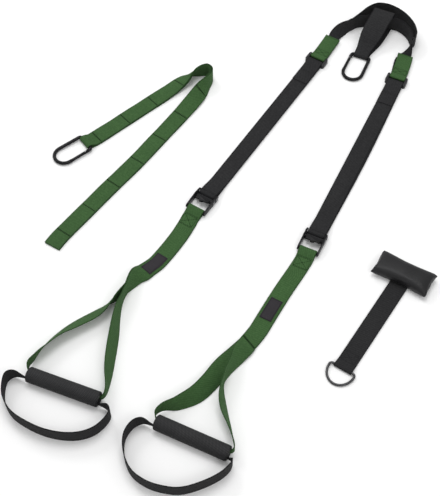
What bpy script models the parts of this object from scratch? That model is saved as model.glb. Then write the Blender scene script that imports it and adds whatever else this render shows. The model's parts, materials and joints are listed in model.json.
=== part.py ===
"""Suspension trainer laid flat: the two-leg strap with its yoke, cam buckles, handles and foot cradles,
the anchor strap that is sewn into loops, and the door anchor.

Run it with blender --background --python part.py. Metres, +Z up, standing on the plane Z = 0.
+Y runs from the handles to the yoke, and the origin is the middle of the footprint."""

import math
from collections import namedtuple

import bmesh
import bpy
from mathutils import Matrix, Vector

# Webbing: every strap is cut from the same roll, and sewn plies lie a seat gap apart.
WEB_WIDTH = 0.038
WEB_THICKNESS = 0.0018
SEAT_GAP = 0.0003
PLY_STEP = WEB_THICKNESS + SEAT_GAP
DOUBLE_THICKNESS = WEB_THICKNESS + PLY_STEP

# The two legs: where each starts on the floor, how it leans, and its length down to the grip bar.
LEFT_X = -0.0185
LEFT_Y = 0.672
LEFT_LEAN = 6.5
LEFT_RUN = 0.567
RIGHT_X = 0.166
RIGHT_Y = 0.694
RIGHT_LEAN = -0.4
RIGHT_RUN = 0.578
LEFT_BOW = 0.0
RIGHT_BOW = 0.004

# Yoke: two bands of webbing on edge, and the locking strap that goes over and under the inner one.
YOKE_RISE = 0.084
YOKE_FLAT = 0.012
LOCKING_X = 0.0625
LOCKING_BAR_Y = 0.645
LOCKING_TURN = 1.5
LOCKING_WIDTH = 0.052
LOCKING_DRIFT = 0.009
LOCKING_MARGIN = 0.004
LOCKING_REACH = 0.009
LOCKING_FLARE = 0.060
LOOP_WIDTH = 0.0345
LOOP_FLARE = 0.020
LOCKING_EDGE = 0.0024

# Carabiner: a bent rod and a solid sprung gate.
CARABINER_LENGTH = 0.088
CARABINER_WIDTH = 0.054
CARABINER_TOP_WIDTH = 0.052
CARABINER_CORNER = 0.0045
ROD_RADIUS = 0.004
GATE_RADIUS = 0.0034
GATE_LENGTH = 0.038
GATE_DROP = 0.0145
GATE_SLOT = 0.0034
TONGUE_THICKNESS = 0.0026
TONGUE_REACH = 0.0046
HINGE_ROOM = 0.0015
RIVET_RADIUS = 0.0011
RIVET_HEAD_RADIUS = 0.0019
RIVET_HEAD_HEIGHT = 0.0006

# Cam buckle: two cheeks, a grip bar that the strap turns round, and a toothed cam with a thumb lever.
CHEEK_THICKNESS = 0.003
BUCKLE_INSIDE = 0.0412
BUCKLE_SPAN = 0.045
GRIP_BAR_RADIUS = 0.0036
END_BAR_RADIUS = 0.003
CHEEK_RADIUS = 0.0072
CHEEK_CAM_RADIUS = 0.0082
CHEEK_END_RADIUS = 0.0062
CAM_PIN_RADIUS = 0.0022
CAM_RADIUS = 0.0056
CAM_CREST = 0.0070
CAM_LIFT = 0.0011
CAM_FRONT_SHARE = 0.6
CAM_TEETH = 5
TOOTH_DEPTH = 0.0010
CAM_SECTOR = 76.0
CAM_SIDE_GAP = 0.0008
LEVER_LENGTH = 0.0165
LEVER_WIDTH = 0.031
LEVER_THICKNESS = 0.0026
LEVER_RISE = 18.0
THUMB_RADIUS = 0.0052
PIN_HEAD_RADIUS = 0.0044
PIN_HEAD_HEIGHT = 0.0012
SPRING_WIRE = 0.00032
SPRING_RADIUS = 0.0032
SPRING_PITCH = 0.00108
SPRING_TURNS = 3
SPRING_POCKET = 0.0042
TURN_LEAD = 0.004
TAIL_DROP = 0.045

# Pull tab, and the moulded keeper that carries it and the tail of the strap.
TAB_LENGTH = 0.074
TAB_WIDTH = 0.0375
TAB_FLARE = 0.016
LEFT_TAB_SKEW = -0.003
RIGHT_TAB_SKEW = -0.008
KEEPER_LENGTH = 0.026
KEEPER_WIDTH = 0.050
KEEPER_INSIDE = 0.0394
KEEPER_HEIGHT = 0.0112
KEEPER_CORNER = 0.004
KEEPER_BAR_RADIUS = 0.002
KEEPER_BAR_SPACING = 0.0135
TAIL_LAP = 0.075
TAIL_FLARE = 0.012

# Lower strap and label.
LEFT_LOWER_LENGTH = 0.248
RIGHT_LOWER_LENGTH = 0.262
LOWER_FLARE = 0.022
LABEL_LENGTH = 0.053
LABEL_WIDTH = 0.026
LABEL_THICKNESS = 0.0006
LABEL_PLACE = 0.165

# Handle: where the grips lie from the middle of each leg's top, and how they are turned.
LEFT_HANDLE_X = 0.020
LEFT_HANDLE_Y = -1.104
LEFT_HANDLE_TURN = 11.4
RIGHT_HANDLE_X = -0.030
RIGHT_HANDLE_Y = -1.106
RIGHT_HANDLE_TURN = 0.6
LEFT_LOOP_HEIGHT = 0.244
RIGHT_LOOP_HEIGHT = 0.226
GRIP_LENGTH = 0.150
GRIP_RADIUS = 0.0155
GRIP_BORE = 0.0124
GRIP_END_ROUND = 0.0028
TUBE_WALL = 0.0016
TUBE_PROUD = 0.001
CORE_WIDTH = 0.015
CORE_OFFSET = 0.0059
CORE_SHARES = (-0.515, -0.46, 0.46, 0.515)
CRADLE_CORE_WIDTH = 0.009
CRADLE_DEPTH = 0.100

# Anchor strap: two plies sewn together at even steps, which makes a chain of loops.
ANCHOR_X = -0.395
ANCHOR_Y = 0.121
ANCHOR_TURN = -26.5
ANCHOR_RUN = 0.345
ANCHOR_SPREAD = 0.150
ANCHOR_PITCH = 0.0815
ANCHOR_PUFF = 0.0009

# Door anchor: a stuffed bar, its strap and a D-ring.
PAD_X = 0.371
PAD_Y = 0.100
PAD_TURN = -5.0
PAD_WIDTH = 0.128
PAD_DEPTH = 0.064
PAD_HEIGHT = 0.030
PAD_DRAWN_IN = 0.005
PAD_FLAT_CUT = 0.0005
DOOR_STRAP_LENGTH = 0.221
DOOR_STRAP_TURN = -2.5
DOOR_STRAP_TUCK = 0.012
DOOR_STRAP_FLARE = 0.020
RING_WIDTH = 0.060
RING_DEPTH = 0.043
RING_RADIUS = 0.0025
RING_CORNER = 0.006

# One overrun for all cuts, and the numbers of steps of curves and of sides of round shapes.
OVERRUN = 0.002
STEPS = 6
ROD_SIDES = 10
PIN_SIDES = 14
GRIP_SIDES = 32

UP = Vector((0, 0, 1))
Station = namedtuple("Station", "middle across width thickness")

# The knots of each route, from its start on. Places are shares of the sizes that the route follows: first
# across, then along. After them come the lift in plies, the roll in degrees and the share of the width.
LEFT_LOWER_SHARES = (
    (-0.16, -1.0, 90), (-0.17, -0.86, 52), (-0.10, -0.78, 14), (-0.03, -0.72, 2), (0.13, -0.62, 0),
    (0.17, -0.34, 0), (0.08, -0.17, 0), (0.0, -0.09, 0), (0.0, -0.04, 0), (0.0, 0.0, 0),
)
RIGHT_LOWER_SHARES = (
    (-0.585, -0.952, 0), (-0.51, -0.905, 0), (-0.42, -0.83, 0), (-0.38, -0.745, 0), (-0.32, -0.61, 0),
    (-0.22, -0.42, 0), (-0.07, -0.22, 0), (0.0, -0.10, 0), (0.0, -0.05, 0), (0.0, 0.0, 0),
)
LEFT_ARM_SHARES = (
    (0.09, 0.90, 0, 84, 1.0), (-0.05, 0.72, 0, 44, 1.0), (-0.25, 0.55, 0, 42, 1.0),
    (-0.385, 0.42, 0, 54, 1.0), (-0.485, 0.27, 0, 64, 1.0), (-0.54, 0.15, 0, 80, 0.86),
    (-0.555, 0.07, 1.6, 90, 0.6),
)
LEFT_FAR_ARM_SHARES = (
    (0.54, 0.055, 1.6, 90, 0.6), (0.51, 0.13, 0, 84, 0.82), (0.46, 0.22, 0, 74, 1.0),
    (0.38, 0.37, 0, 66, 1.0), (0.285, 0.57, 0, 66, 1.0), (0.19, 0.77, 0, 78, 1.0),
    (0.16, 0.90, 0, 90, 1.0),
)
RIGHT_ARM_SHARES = (
    (-0.006, 0.895, 0, 179, 1.0), (-0.09, 0.715, 0, 167, 1.0), (-0.14, 0.53, 0, 152, 1.0),
    (-0.215, 0.37, 0, 138, 1.0), (-0.375, 0.225, 0, 120, 0.86), (-0.51, 0.14, 1.0, 100, 0.7),
    (-0.555, 0.065, 1.6, 90, 0.6),
)
RIGHT_FAR_ARM_SHARES = (
    (0.535, 0.055, 1.6, 90, 0.6), (0.475, 0.12, 1.0, 86, 0.7), (0.35, 0.22, 0, 76, 0.92),
    (0.22, 0.315, 0, 68, 1.0), (0.12, 0.415, 0, 70, 1.0), (0.06, 0.50, 0, 80, 1.0),
    (0.022, 0.585, 0.1, 88, 1.0), (0.022, 0.665, 0.5, 80, 1.0), (0.035, 0.745, 0.5, 70, 1.0),
    (0.045, 0.82, 0.5, 55, 1.0), (0.053, 0.90, 0.6, 34, 1.0), (0.063, 0.97, 0.62, 12, 1.0),
)
LEFT_CRADLE_SHARES = (
    (0.64, -0.09, 0.45, 90, 0.8), (0.708, -0.19, 0, 90, 1.0), (0.70, -0.38, 0, 90, 1.0),
    (0.625, -0.62, 0, 90, 1.0), (0.48, -0.81, 0, 90, 1.0), (0.28, -0.93, 0, 90, 1.0),
    (0.04, -0.98, 0, 90, 1.0), (-0.22, -0.95, 0, 90, 1.0), (-0.44, -0.86, 0, 90, 1.0),
    (-0.62, -0.65, 0, 90, 1.0), (-0.71, -0.40, 0, 90, 1.0), (-0.73, -0.20, 0, 90, 1.0),
    (-0.66, -0.09, 0.45, 90, 0.8),
)
RIGHT_CRADLE_SHARES = (
    (0.575, -0.095, 0.9, 90, 0.62), (0.585, -0.25, 0, 90, 1.0), (0.52, -0.48, 0, 90, 1.0),
    (0.36, -0.78, 0, 90, 1.0), (0.17, -1.02, 0, 90, 1.0), (-0.04, -1.13, 0, 90, 1.0),
    (-0.25, -1.16, 0, 90, 1.0), (-0.47, -1.08, 0, 90, 1.0), (-0.65, -0.84, 0, 90, 1.0),
    (-0.755, -0.54, 0, 90, 1.0), (-0.745, -0.26, 0, 90, 1.0), (-0.66, -0.095, 0.45, 90, 0.8),
)
ANCHOR_SHARES = (
    (1.27, -0.61, 0), (1.20, -0.53, 0), (1.055, -0.31, 0), (0.90, -0.075, 0), (0.755, 0.16, 0),
    (0.565, 0.42, 0), (0.40, 0.65, 6), (0.28, 0.82, 32), (0.20, 0.93, 78), (0.10, 1.0, 90),
    (-0.02, 1.0, 90), (-0.09, 0.93, 74), (-0.12, 0.84, 26), (-0.10, 0.70, 4), (-0.06, 0.44, 0),
    (-0.02, 0.20, 0), (0.0, 0.0, 0),
)
INNER_BAND_SHARES = (
    (0.137, 0.452, 88), (0.170, 0.551, 90), (0.192, 0.64, 90), (0.226, 0.714, 90), (0.33, 0.818, 90),
    (0.50, 0.93, 90), (0.68, 0.955, 90), (0.80, 0.885, 90), (0.90, 0.735, 90), (0.97, 0.54, 90),
    (1.01, 0.37, 90), (1.02, 0.26, 90),
)
OUTER_BAND_SHARES = (
    (0.184, 0.702), (0.215, 0.88), (0.262, 1.17), (0.335, 1.39), (0.40, 1.46), (0.515, 1.475), (0.668, 1.376),
    (0.805, 1.205), (0.94, 0.93), (1.022, 0.64), (1.036, 0.50),
)
YOKE_START_SHARES = ((-1.0, 0, 0.7), (-0.4, 0, 0.7), (0.2, 0, 0.7), (0.85, 22, 0.78), (1.6, 48, 0.88), (2.35, 70, 0.96))
YOKE_END_SHARES = ((-1.0, 0, 0.7), (-0.4, 0, 0.7), (0.1, 0, 0.7), (0.6, 34, 0.74), (1.1, 62, 0.82))
FIRST_SEAM_KNOT = 6
LAST_SEAM_KNOT = 16


# Scene, materials and frames

def clear_scene():
    for thing in list(bpy.data.objects):
        bpy.data.objects.remove(thing)


def make_material(name, colour, roughness, metallic=0.0):
    material = bpy.data.materials.new(name)
    material.use_nodes = True
    shader = material.node_tree.nodes["Principled BSDF"]
    shader.inputs["Base Color"].default_value = (*colour, 1.0)
    shader.inputs["Roughness"].default_value = roughness
    shader.inputs["Metallic"].default_value = metallic
    return material


def make_materials():
    return {
        "green_webbing": make_material("green_webbing", (0.055, 0.125, 0.045), 0.85),
        "black_webbing": make_material("black_webbing", (0.018, 0.018, 0.019), 0.8),
        "black_metal": make_material("black_metal", (0.012, 0.012, 0.013), 0.35, 0.8),
        "steel": make_material("steel", (0.35, 0.35, 0.36), 0.3, 1.0),
        "black_plastic": make_material("black_plastic", (0.014, 0.014, 0.015), 0.45),
        "grip_rubber": make_material("grip_rubber", (0.03, 0.03, 0.031), 0.7),
        "label_cloth": make_material("label_cloth", (0.045, 0.042, 0.05), 0.6),
        "pad_cover": make_material("pad_cover", (0.02, 0.02, 0.021), 0.65),
    }


def frame(name, parent, place, turn=0.0, tilt=0.0):
    """An empty that carries pieces, turned about Z and tilted about its own X, in degrees. Where pieces
    move about or along it, its X or Y axis is the axis of their joint."""
    empty = bpy.data.objects.new(name, None)
    bpy.context.collection.objects.link(empty)
    empty.parent = parent
    empty.location = place
    empty.rotation_euler = (math.radians(tilt), 0, math.radians(turn))
    bpy.context.view_layer.update()
    return empty


def finish(name, mesh, material, carrier):
    """Makes a piece, whose mesh is given in the frame that carries it."""
    piece = bpy.data.objects.new(name, mesh)
    bpy.context.collection.objects.link(piece)
    piece.parent = carrier
    mesh.materials.append(material)
    mesh.shade_smooth()
    mesh.set_sharp_from_angle(angle=math.radians(40))
    return piece


def helper(name, mesh, carrier):
    """A cutter, or a lump to be joined on, which isn't a piece of its own."""
    tool = bpy.data.objects.new(name, mesh)
    bpy.context.collection.objects.link(tool)
    tool.parent = carrier
    tool.hide_render = True
    tool.display_type = "WIRE"
    return tool


def combine(piece, tool, operation):
    modifier = piece.modifiers.new(tool.name, "BOOLEAN")
    modifier.object = tool
    modifier.operation = operation


def mesh_from(bm, name):
    bmesh.ops.recalc_face_normals(bm, faces=bm.faces)
    mesh = bpy.data.meshes.new(name)
    bm.to_mesh(mesh)
    bm.free()
    return mesh


# Curves and straps

def ease(share):
    share = min(1.0, max(0.0, share))
    return share * share * (3 - 2 * share)


def spline(knots, steps=STEPS):
    """Rows of a smooth curve through the knots, paced by the distance between their first two values."""
    knots = [Vector(k) for k in knots]
    pace = [0.0]
    for before, after in zip(knots, knots[1:]):
        pace.append(pace[-1] + (after - before).to_2d().length)
    slopes = []
    for i in range(len(knots)):
        a, b = max(i - 1, 0), min(i + 1, len(knots) - 1)
        slopes.append((knots[b] - knots[a]) / (pace[b] - pace[a]))
    rows = []
    for i in range(len(knots) - 1):
        span = pace[i + 1] - pace[i]
        for step in range(steps):
            t = step / steps
            rows.append(
                knots[i] * (2 * t**3 - 3 * t**2 + 1)
                + slopes[i] * span * (t**3 - 2 * t**2 + t)
                + knots[i + 1] * (3 * t**2 - 2 * t**3)
                + slopes[i + 1] * span * (t**3 - t**2)
            )
    return rows + [knots[-1]]


def laid(knots, thickness=WEB_THICKNESS, steps=STEPS):
    """Stations of a strap on the floor. A knot is (x, y, lift, roll in degrees, width): at roll 0 it lies
    flat, at 90 it stands on its edge, and its lowest edge is lift above the floor."""
    rows = spline(knots, steps)
    stations = []
    for i, (x, y, lift, roll, width) in enumerate(rows):
        back, ahead = rows[max(i - 1, 0)], rows[min(i + 1, len(rows) - 1)]
        along = Vector((ahead[0] - back[0], ahead[1] - back[1], 0)).normalized()
        lean = math.radians(min(180, max(roll, 0)))
        across = UP.cross(along) * math.cos(lean) + UP * math.sin(lean)
        height = (width * abs(math.sin(lean)) + thickness * abs(math.cos(lean))) / 2
        stations.append(Station(Vector((x, y, max(lift, 0) + height)), across, width, thickness))
    return stations


def normals(stations, closed=False):
    """The direction out of the strap's face at each station."""
    found = []
    last = len(stations) - 1
    for i, station in enumerate(stations):
        back, ahead = (i - 1, (i + 1) % len(stations)) if closed else (max(i - 1, 0), min(i + 1, last))
        along = stations[ahead].middle - stations[back].middle
        found.append(along.cross(station.across).normalized())
    return found


def ply(stations, offsets):
    """One ply of a strap, moved out of its face by the offset of each station."""
    moved = []
    for station, out, offset in zip(stations, normals(stations), offsets):
        moved.append(station._replace(middle=station.middle + out * offset, thickness=WEB_THICKNESS))
    return moved


def turn_round(bar, radius, start, across, width, sweep=math.pi, steps=8):
    """Stations round a bar, from the direction start on. A strap that comes along the floor turns up and
    back with a sweep above 0, and down and back with one below it."""
    stations = []
    for i in range(steps + 1):
        arm = Matrix.Rotation(-sweep * i / steps, 3, across) @ start
        stations.append(Station(bar + arm * radius, across, width, WEB_THICKNESS))
    return stations


def seat_radius(bar_radius):
    """The middle of a ply that goes round a bar."""
    return bar_radius + SEAT_GAP + WEB_THICKNESS / 2


def folded(stations, bar_radius, flare, puff=None):
    """A strap of two plies whose route ends in the middle of a bar, which the webbing turns round.
    Puff gives how far the plies stand apart at a distance from the bar."""
    turn_radius = seat_radius(bar_radius)
    away = [0.0]
    for after, before in zip(stations[::-1], stations[-2::-1]):
        away.append(away[-1] + (after.middle - before.middle).length)
    away.reverse()
    offsets = []
    for distance in away:
        offset = turn_radius + (PLY_STEP / 2 - turn_radius) * ease(distance / flare)
        offsets.append(offset + (puff(distance) if puff else 0.0))
    upper = ply(stations, offsets)
    lower = ply(stations, [-offset for offset in offsets])
    end = stations[-1]
    out = normals(stations)[-1]
    turn = turn_round(end.middle, turn_radius, out, end.across, end.width, -math.pi)
    return upper + turn[1:-1] + lower[::-1]


def strap_mesh(name, stations, closed=False):
    """Sweeps the strap's rectangular section through its stations."""
    bm = bmesh.new()
    rings = []
    for station, out in zip(stations, normals(stations, closed)):
        side = station.across.normalized() * station.width / 2
        face = out * station.thickness / 2
        corners = (side + face, face - side, -side - face, side - face)
        rings.append([bm.verts.new(station.middle + corner) for corner in corners])
    bridge_rings(bm, rings, closed)
    return mesh_from(bm, name)


def rod_mesh(name, points, radius, sides=ROD_SIDES, closed=False):
    """A round rod along a smooth line, whose section doesn't twist."""
    bm = bmesh.new()
    rings = []
    last = len(points) - 1
    side = None
    for i, point in enumerate(points):
        back, ahead = (i - 1, (i + 1) % len(points)) if closed else (max(i - 1, 0), min(i + 1, last))
        along = (points[ahead] - points[back]).normalized()
        side = along.cross(UP) if side is None else side - along * side.dot(along)
        side.normalize()
        over = side.cross(along)
        ring = []
        for k in range(sides):
            angle = 2 * math.pi * (k + 0.5) / sides
            ring.append(bm.verts.new(point + (side * math.cos(angle) + over * math.sin(angle)) * radius))
        rings.append(ring)
    bridge_rings(bm, rings, closed)
    return mesh_from(bm, name)


def bridge_rings(bm, rings, closed):
    pairs = list(zip(rings, rings[1:]))
    if closed:
        pairs.append((rings[-1], rings[0]))
    else:
        bm.faces.new(rings[0])
        bm.faces.new(rings[-1])
    for first, second in pairs:
        for i in range(len(first)):
            j = (i + 1) % len(first)
            bm.faces.new((first[i], first[j], second[j], second[i]))


def arc(centre, radius, start, end, steps):
    """Points of an arc in the XY plane, with its angles in degrees."""
    points = []
    for i in range(steps + 1):
        angle = math.radians(start + (end - start) * i / steps)
        points.append(centre + Vector((math.cos(angle), math.sin(angle), 0)) * radius)
    return points


# Solids

def turned(name, profile, sides):
    """A body turned about X from a profile of (along, radius) points, closed where it leaves the axis."""
    bm = bmesh.new()
    rings = []
    for k in range(sides):
        angle = 2 * math.pi * k / sides
        ring = [Vector((x, r * math.cos(angle), r * math.sin(angle))) for x, r in profile]
        rings.append([bm.verts.new(point) for point in ring])
    on_axis = profile[0][1] == 0 and profile[-1][1] == 0
    for k in range(sides):
        first, second = rings[k], rings[(k + 1) % sides]
        for i in range(len(profile) - on_axis):
            j = (i + 1) % len(profile)
            bm.faces.new((first[i], first[j], second[j], second[i]))
    bmesh.ops.remove_doubles(bm, verts=bm.verts, dist=SEAT_GAP / 100)
    bmesh.ops.dissolve_degenerate(bm, edges=bm.edges, dist=SEAT_GAP / 100)
    return mesh_from(bm, name)


def hull_mesh(name, points):
    bm = bmesh.new()
    for point in points:
        bm.verts.new(point)
    made = bmesh.ops.convex_hull(bm, input=bm.verts)
    inside = [v for v in made["geom_interior"] if isinstance(v, bmesh.types.BMVert)]
    bmesh.ops.delete(bm, geom=inside, context="VERTS")
    bmesh.ops.dissolve_limit(bm, angle_limit=math.radians(1), verts=bm.verts, edges=bm.edges)
    return mesh_from(bm, name)


def box_mesh(name, low, high):
    xs, ys, zs = zip(low, high)
    return hull_mesh(name, [Vector((x, y, z)) for x in xs for y in ys for z in zs])


def prism(name, outline, near, far):
    """A plate square to X whose outline is given as (y, z) points in order."""
    bm = bmesh.new()
    rings = [[bm.verts.new((x, y, z)) for y, z in outline] for x in (near, far)]
    bridge_rings(bm, rings, False)
    return mesh_from(bm, name)


def round_outline(circles, sides=PIN_SIDES):
    """Points on circles given as (y, z, radius), for a hull to go round."""
    points = []
    for y, z, radius in circles:
        for k in range(sides):
            angle = 2 * math.pi * (k + 0.5) / sides
            points.append((y + math.cos(angle) * radius, z + math.sin(angle) * radius))
    return points


def plate(name, circles, near, far):
    """A plate square to X that goes round circles."""
    return hull_mesh(name, [Vector((x, y, z)) for y, z in round_outline(circles) for x in (near, far)])


def upright(circles, low, high, sides=PIN_SIDES):
    """Points of a plate square to Z that goes round circles given as (x, y, radius)."""
    return [Vector((x, y, z)) for x, y in round_outline(circles, sides) for z in (low, high)]


def headed_pin(name, radius, head_radius, head_height, half_span):
    """A pin along X with a head at each end, outside half_span."""
    tip = half_span + head_height
    profile = [
        (-tip, 0), (-tip, head_radius * 0.8), (-tip + head_height / 3, head_radius),
        (-half_span, head_radius), (-half_span, radius), (half_span, radius),
        (half_span, head_radius), (tip - head_height / 3, head_radius), (tip, head_radius * 0.8), (tip, 0),
    ]
    return turned(name, profile, PIN_SIDES)


# Carabiners

def carabiner_outline():
    """The middle line of the bent rod, from its nose round to the gate's hinge."""
    half = CARABINER_WIDTH / 2 - ROD_RADIUS
    top = CARABINER_TOP_WIDTH / 2 - ROD_RADIUS
    bow = Vector((0, half + 2 * ROD_RADIUS - CARABINER_LENGTH, 0))
    hinge = Vector((-half, -GATE_DROP, 0))
    nose = hinge - Vector((0, GATE_LENGTH, 0))
    corner = Vector((top - CARABINER_CORNER, -CARABINER_CORNER, 0))
    mirrored = Vector((-corner.x, corner.y, 0))
    points = [nose - Vector((0, SEAT_GAP, 0))] + arc(bow, half, 180, 360, 16)
    points += arc(corner, CARABINER_CORNER, 0, 90, 5) + arc(mirrored, CARABINER_CORNER, 90, 180, 5)
    return points + [hinge + Vector((0, HINGE_ROOM, 0))], nose, hinge


def build_carabiner(prefix, carrier, gate_side, materials):
    """The body hangs on the X axis of its frame, which is the middle of its straight bar."""
    points, nose, hinge = carabiner_outline()
    mirror = Vector((-gate_side, 1, 1))
    points = [point * mirror for point in points]
    nose, hinge = nose * mirror, hinge * mirror
    body = finish(f"{prefix}_carabiner", rod_mesh("body", points, ROD_RADIUS), materials["black_metal"], carrier)
    half_tongue = TONGUE_THICKNESS / 2
    reach = Vector((0, TONGUE_REACH / 2, 0))
    for label, eye, root in (("hinge", hinge - reach, points[-1]), ("nose", nose + reach, points[0])):
        circles = [(eye.x, eye.y, TONGUE_REACH / 2), (root.x, root.y, GATE_RADIUS - SEAT_GAP)]
        tongue = hull_mesh("tongue", upright(circles, -half_tongue, half_tongue))
        combine(body, helper(f"{prefix}_{label}_tongue", tongue, carrier), "UNION")
    pivot = hinge - reach
    bore_reach = ROD_RADIUS + OVERRUN
    bore_radius = RIVET_RADIUS + SEAT_GAP
    eye = hull_mesh("eye", upright([(pivot.x, pivot.y, bore_radius)], -bore_reach, bore_reach))
    combine(body, helper(f"{prefix}_tongue_eye", eye, carrier), "DIFFERENCE")

    swing = frame(f"{prefix}_gate_joint", carrier, pivot)
    start = reach - Vector((0, SEAT_GAP, 0))
    stop = nose - pivot + Vector((0, SEAT_GAP, 0))
    gate_mesh = rod_mesh("gate", [start, stop], GATE_RADIUS, PIN_SIDES)
    gate = finish(f"{prefix}_gate", gate_mesh, materials["black_metal"], swing)
    wide = GATE_RADIUS + OVERRUN
    deep = TONGUE_REACH + SEAT_GAP
    for label, low, high in (("hinge", start.y - deep, wide), ("nose", stop.y - wide, stop.y + deep)):
        slot = box_mesh("slot", (-wide, low, -GATE_SLOT / 2), (wide, high, GATE_SLOT / 2))
        combine(gate, helper(f"{prefix}_gate_{label}_slot", slot, swing), "DIFFERENCE")
    bore = hull_mesh("bore", upright([(0, 0, bore_radius)], -wide, wide))
    combine(gate, helper(f"{prefix}_gate_bore", bore, swing), "DIFFERENCE")

    rivet = headed_pin("rivet", RIVET_RADIUS, RIVET_HEAD_RADIUS, RIVET_HEAD_HEIGHT, GATE_RADIUS + SEAT_GAP)
    rivet.transform(Matrix.Translation(pivot) @ Matrix.Rotation(math.pi / 2, 4, "Y"))
    finish(f"{prefix}_gate_rivet", rivet, materials["steel"], carrier)


# Yoke

def bar_rise():
    """Height of a rod on which a strap's loop hangs, with the loop lying on the floor."""
    return ROD_RADIUS + PLY_STEP


def leg_place(leg, along, across=0.0):
    """A place on the middle of a leg, in the trainer's frame."""
    return leg.matrix_local @ Vector((across, along, 0))


def band_knots(left, right):
    """The inner band's knots, in the trainer's frame. It starts and ends flat on the legs' tops."""
    start, end = leg_place(left, 0, LEFT_TAB_SKEW), leg_place(right, 0, RIGHT_TAB_SKEW)
    knots = []
    for along, roll, width in YOKE_START_SHARES:
        shift = WEB_WIDTH * width * (1 - math.cos(math.radians(roll))) / 2
        place = leg_place(left, YOKE_FLAT * along, LEFT_TAB_SKEW + shift)
        knots.append((place.x, place.y, PLY_STEP, roll, WEB_WIDTH * width))
    for across, rise, roll in INNER_BAND_SHARES:
        foot = start.lerp(end, across)
        knots.append((foot.x, foot.y + YOKE_RISE * rise, PLY_STEP, roll, WEB_WIDTH))
    for along, roll, width in YOKE_END_SHARES[::-1]:
        place = leg_place(right, YOKE_FLAT * along, RIGHT_TAB_SKEW)
        knots.append((place.x, place.y, PLY_STEP, roll, WEB_WIDTH * width))
    return knots


def build_yoke(trainer, left, right, materials):
    """Two bands on edge, the outer one sewn to the inner one at both ends."""
    inner = laid(band_knots(left, right))
    finish("yoke_inner_band", strap_mesh("band", inner), materials["black_webbing"], trainer)
    start, end = leg_place(left, 0, LEFT_TAB_SKEW), leg_place(right, 0, RIGHT_TAB_SKEW)
    sewn = ply(inner, [-PLY_STEP] * len(inner))
    first = sewn[STEPS * FIRST_SEAM_KNOT:STEPS * (FIRST_SEAM_KNOT + 1)]
    last = sewn[STEPS * LAST_SEAM_KNOT + 1:STEPS * (LAST_SEAM_KNOT + 1) - 1]
    places = [first[0].middle.xy, first[-1].middle.xy]
    for across, rise in OUTER_BAND_SHARES:
        foot = start.lerp(end, across)
        places.append((foot.x, foot.y + YOKE_RISE * rise))
    places += [last[0].middle.xy, last[-1].middle.xy]
    free = laid([(x, y, PLY_STEP, 90, WEB_WIDTH) for x, y in places])[STEPS + 1:-STEPS - 1]
    outer = first + free + last
    finish("yoke_outer_band", strap_mesh("band", outer), materials["black_webbing"], trainer)
    return inner


def band_places(stations, middle, half):
    """How far up the parts of a band lie that are within half of a middle line."""
    return [s.middle.y for s in stations if abs(s.middle.x - middle) <= half]


def build_locking_strap(hook, near, far, materials):
    """A closed sling from the carabiner's bar over the inner band, down behind it and back under it."""
    radius = seat_radius(ROD_RADIUS)
    floor = WEB_THICKNESS / 2 - bar_rise()
    top = floor + PLY_STEP + WEB_WIDTH + PLY_STEP
    outline = [(-radius * math.sin(math.pi * i / 8), -radius * math.cos(math.pi * i / 8)) for i in range(9)]
    slope_steps = 6
    for i in range(1, slope_steps):
        share = i / slope_steps
        outline.append((near * share, radius + (top - radius) * ease(share)))
    for i in range(5):
        outline.append((near + (far - near) * i / 4, top))
    corner = LOCKING_EDGE
    for i in range(1, 4):
        angle = math.pi / 2 * i / 3
        outline.append((far + corner * math.sin(angle), top - corner * (1 - math.cos(angle))))
    for i in range(1, 4):
        angle = math.pi / 2 * i / 3
        outline.append((far + corner * math.cos(angle), floor + corner * (1 - math.sin(angle))))
    for i in range(1, 8):
        outline.append((far * (1 - i / 8), floor))
    stations = []
    for y, z in outline:
        width = LOOP_WIDTH + (LOCKING_WIDTH - LOOP_WIDTH) * ease((y - radius) / LOCKING_FLARE)
        drift = LOCKING_DRIFT * ease(y / far)
        stations.append(Station(Vector((drift, y, z)), Vector((1, 0, 0)), width, WEB_THICKNESS))
    mesh = strap_mesh("sling", stations, closed=True)
    finish("locking_strap", mesh, materials["black_webbing"], hook)


# Legs: the main strap, the keeper with its tab, and the tail

def bar_height():
    """Height of the buckle's bars, so that the main strap runs level into the turn."""
    return PLY_STEP + WEB_THICKNESS / 2 + seat_radius(GRIP_BAR_RADIUS)


def keeper_bar_height():
    return 2 * PLY_STEP + WEB_THICKNESS / 2 + seat_radius(KEEPER_BAR_RADIUS)


def build_main_strap(prefix, leg, run, skew, bow, materials):
    """The lower layer, from the yoke through the keeper to the buckle's grip bar."""
    keeper_top, keeper_end = -TAB_LENGTH, -TAB_LENGTH - KEEPER_LENGTH
    places = (
        (skew, -YOKE_FLAT - SEAT_GAP), (skew, -2 * YOKE_FLAT), (0, keeper_top + SEAT_GAP), (0, keeper_end),
        (bow, (keeper_end - run) / 2), (0, 2 * TURN_LEAD - run), (0, TURN_LEAD + SEAT_GAP - run),
    )
    mesh = strap_mesh("strap", laid([(x, y, PLY_STEP, 0, WEB_WIDTH) for x, y in places]))
    finish(f"{prefix}_main_strap", mesh, materials["black_webbing"], leg)


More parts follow.
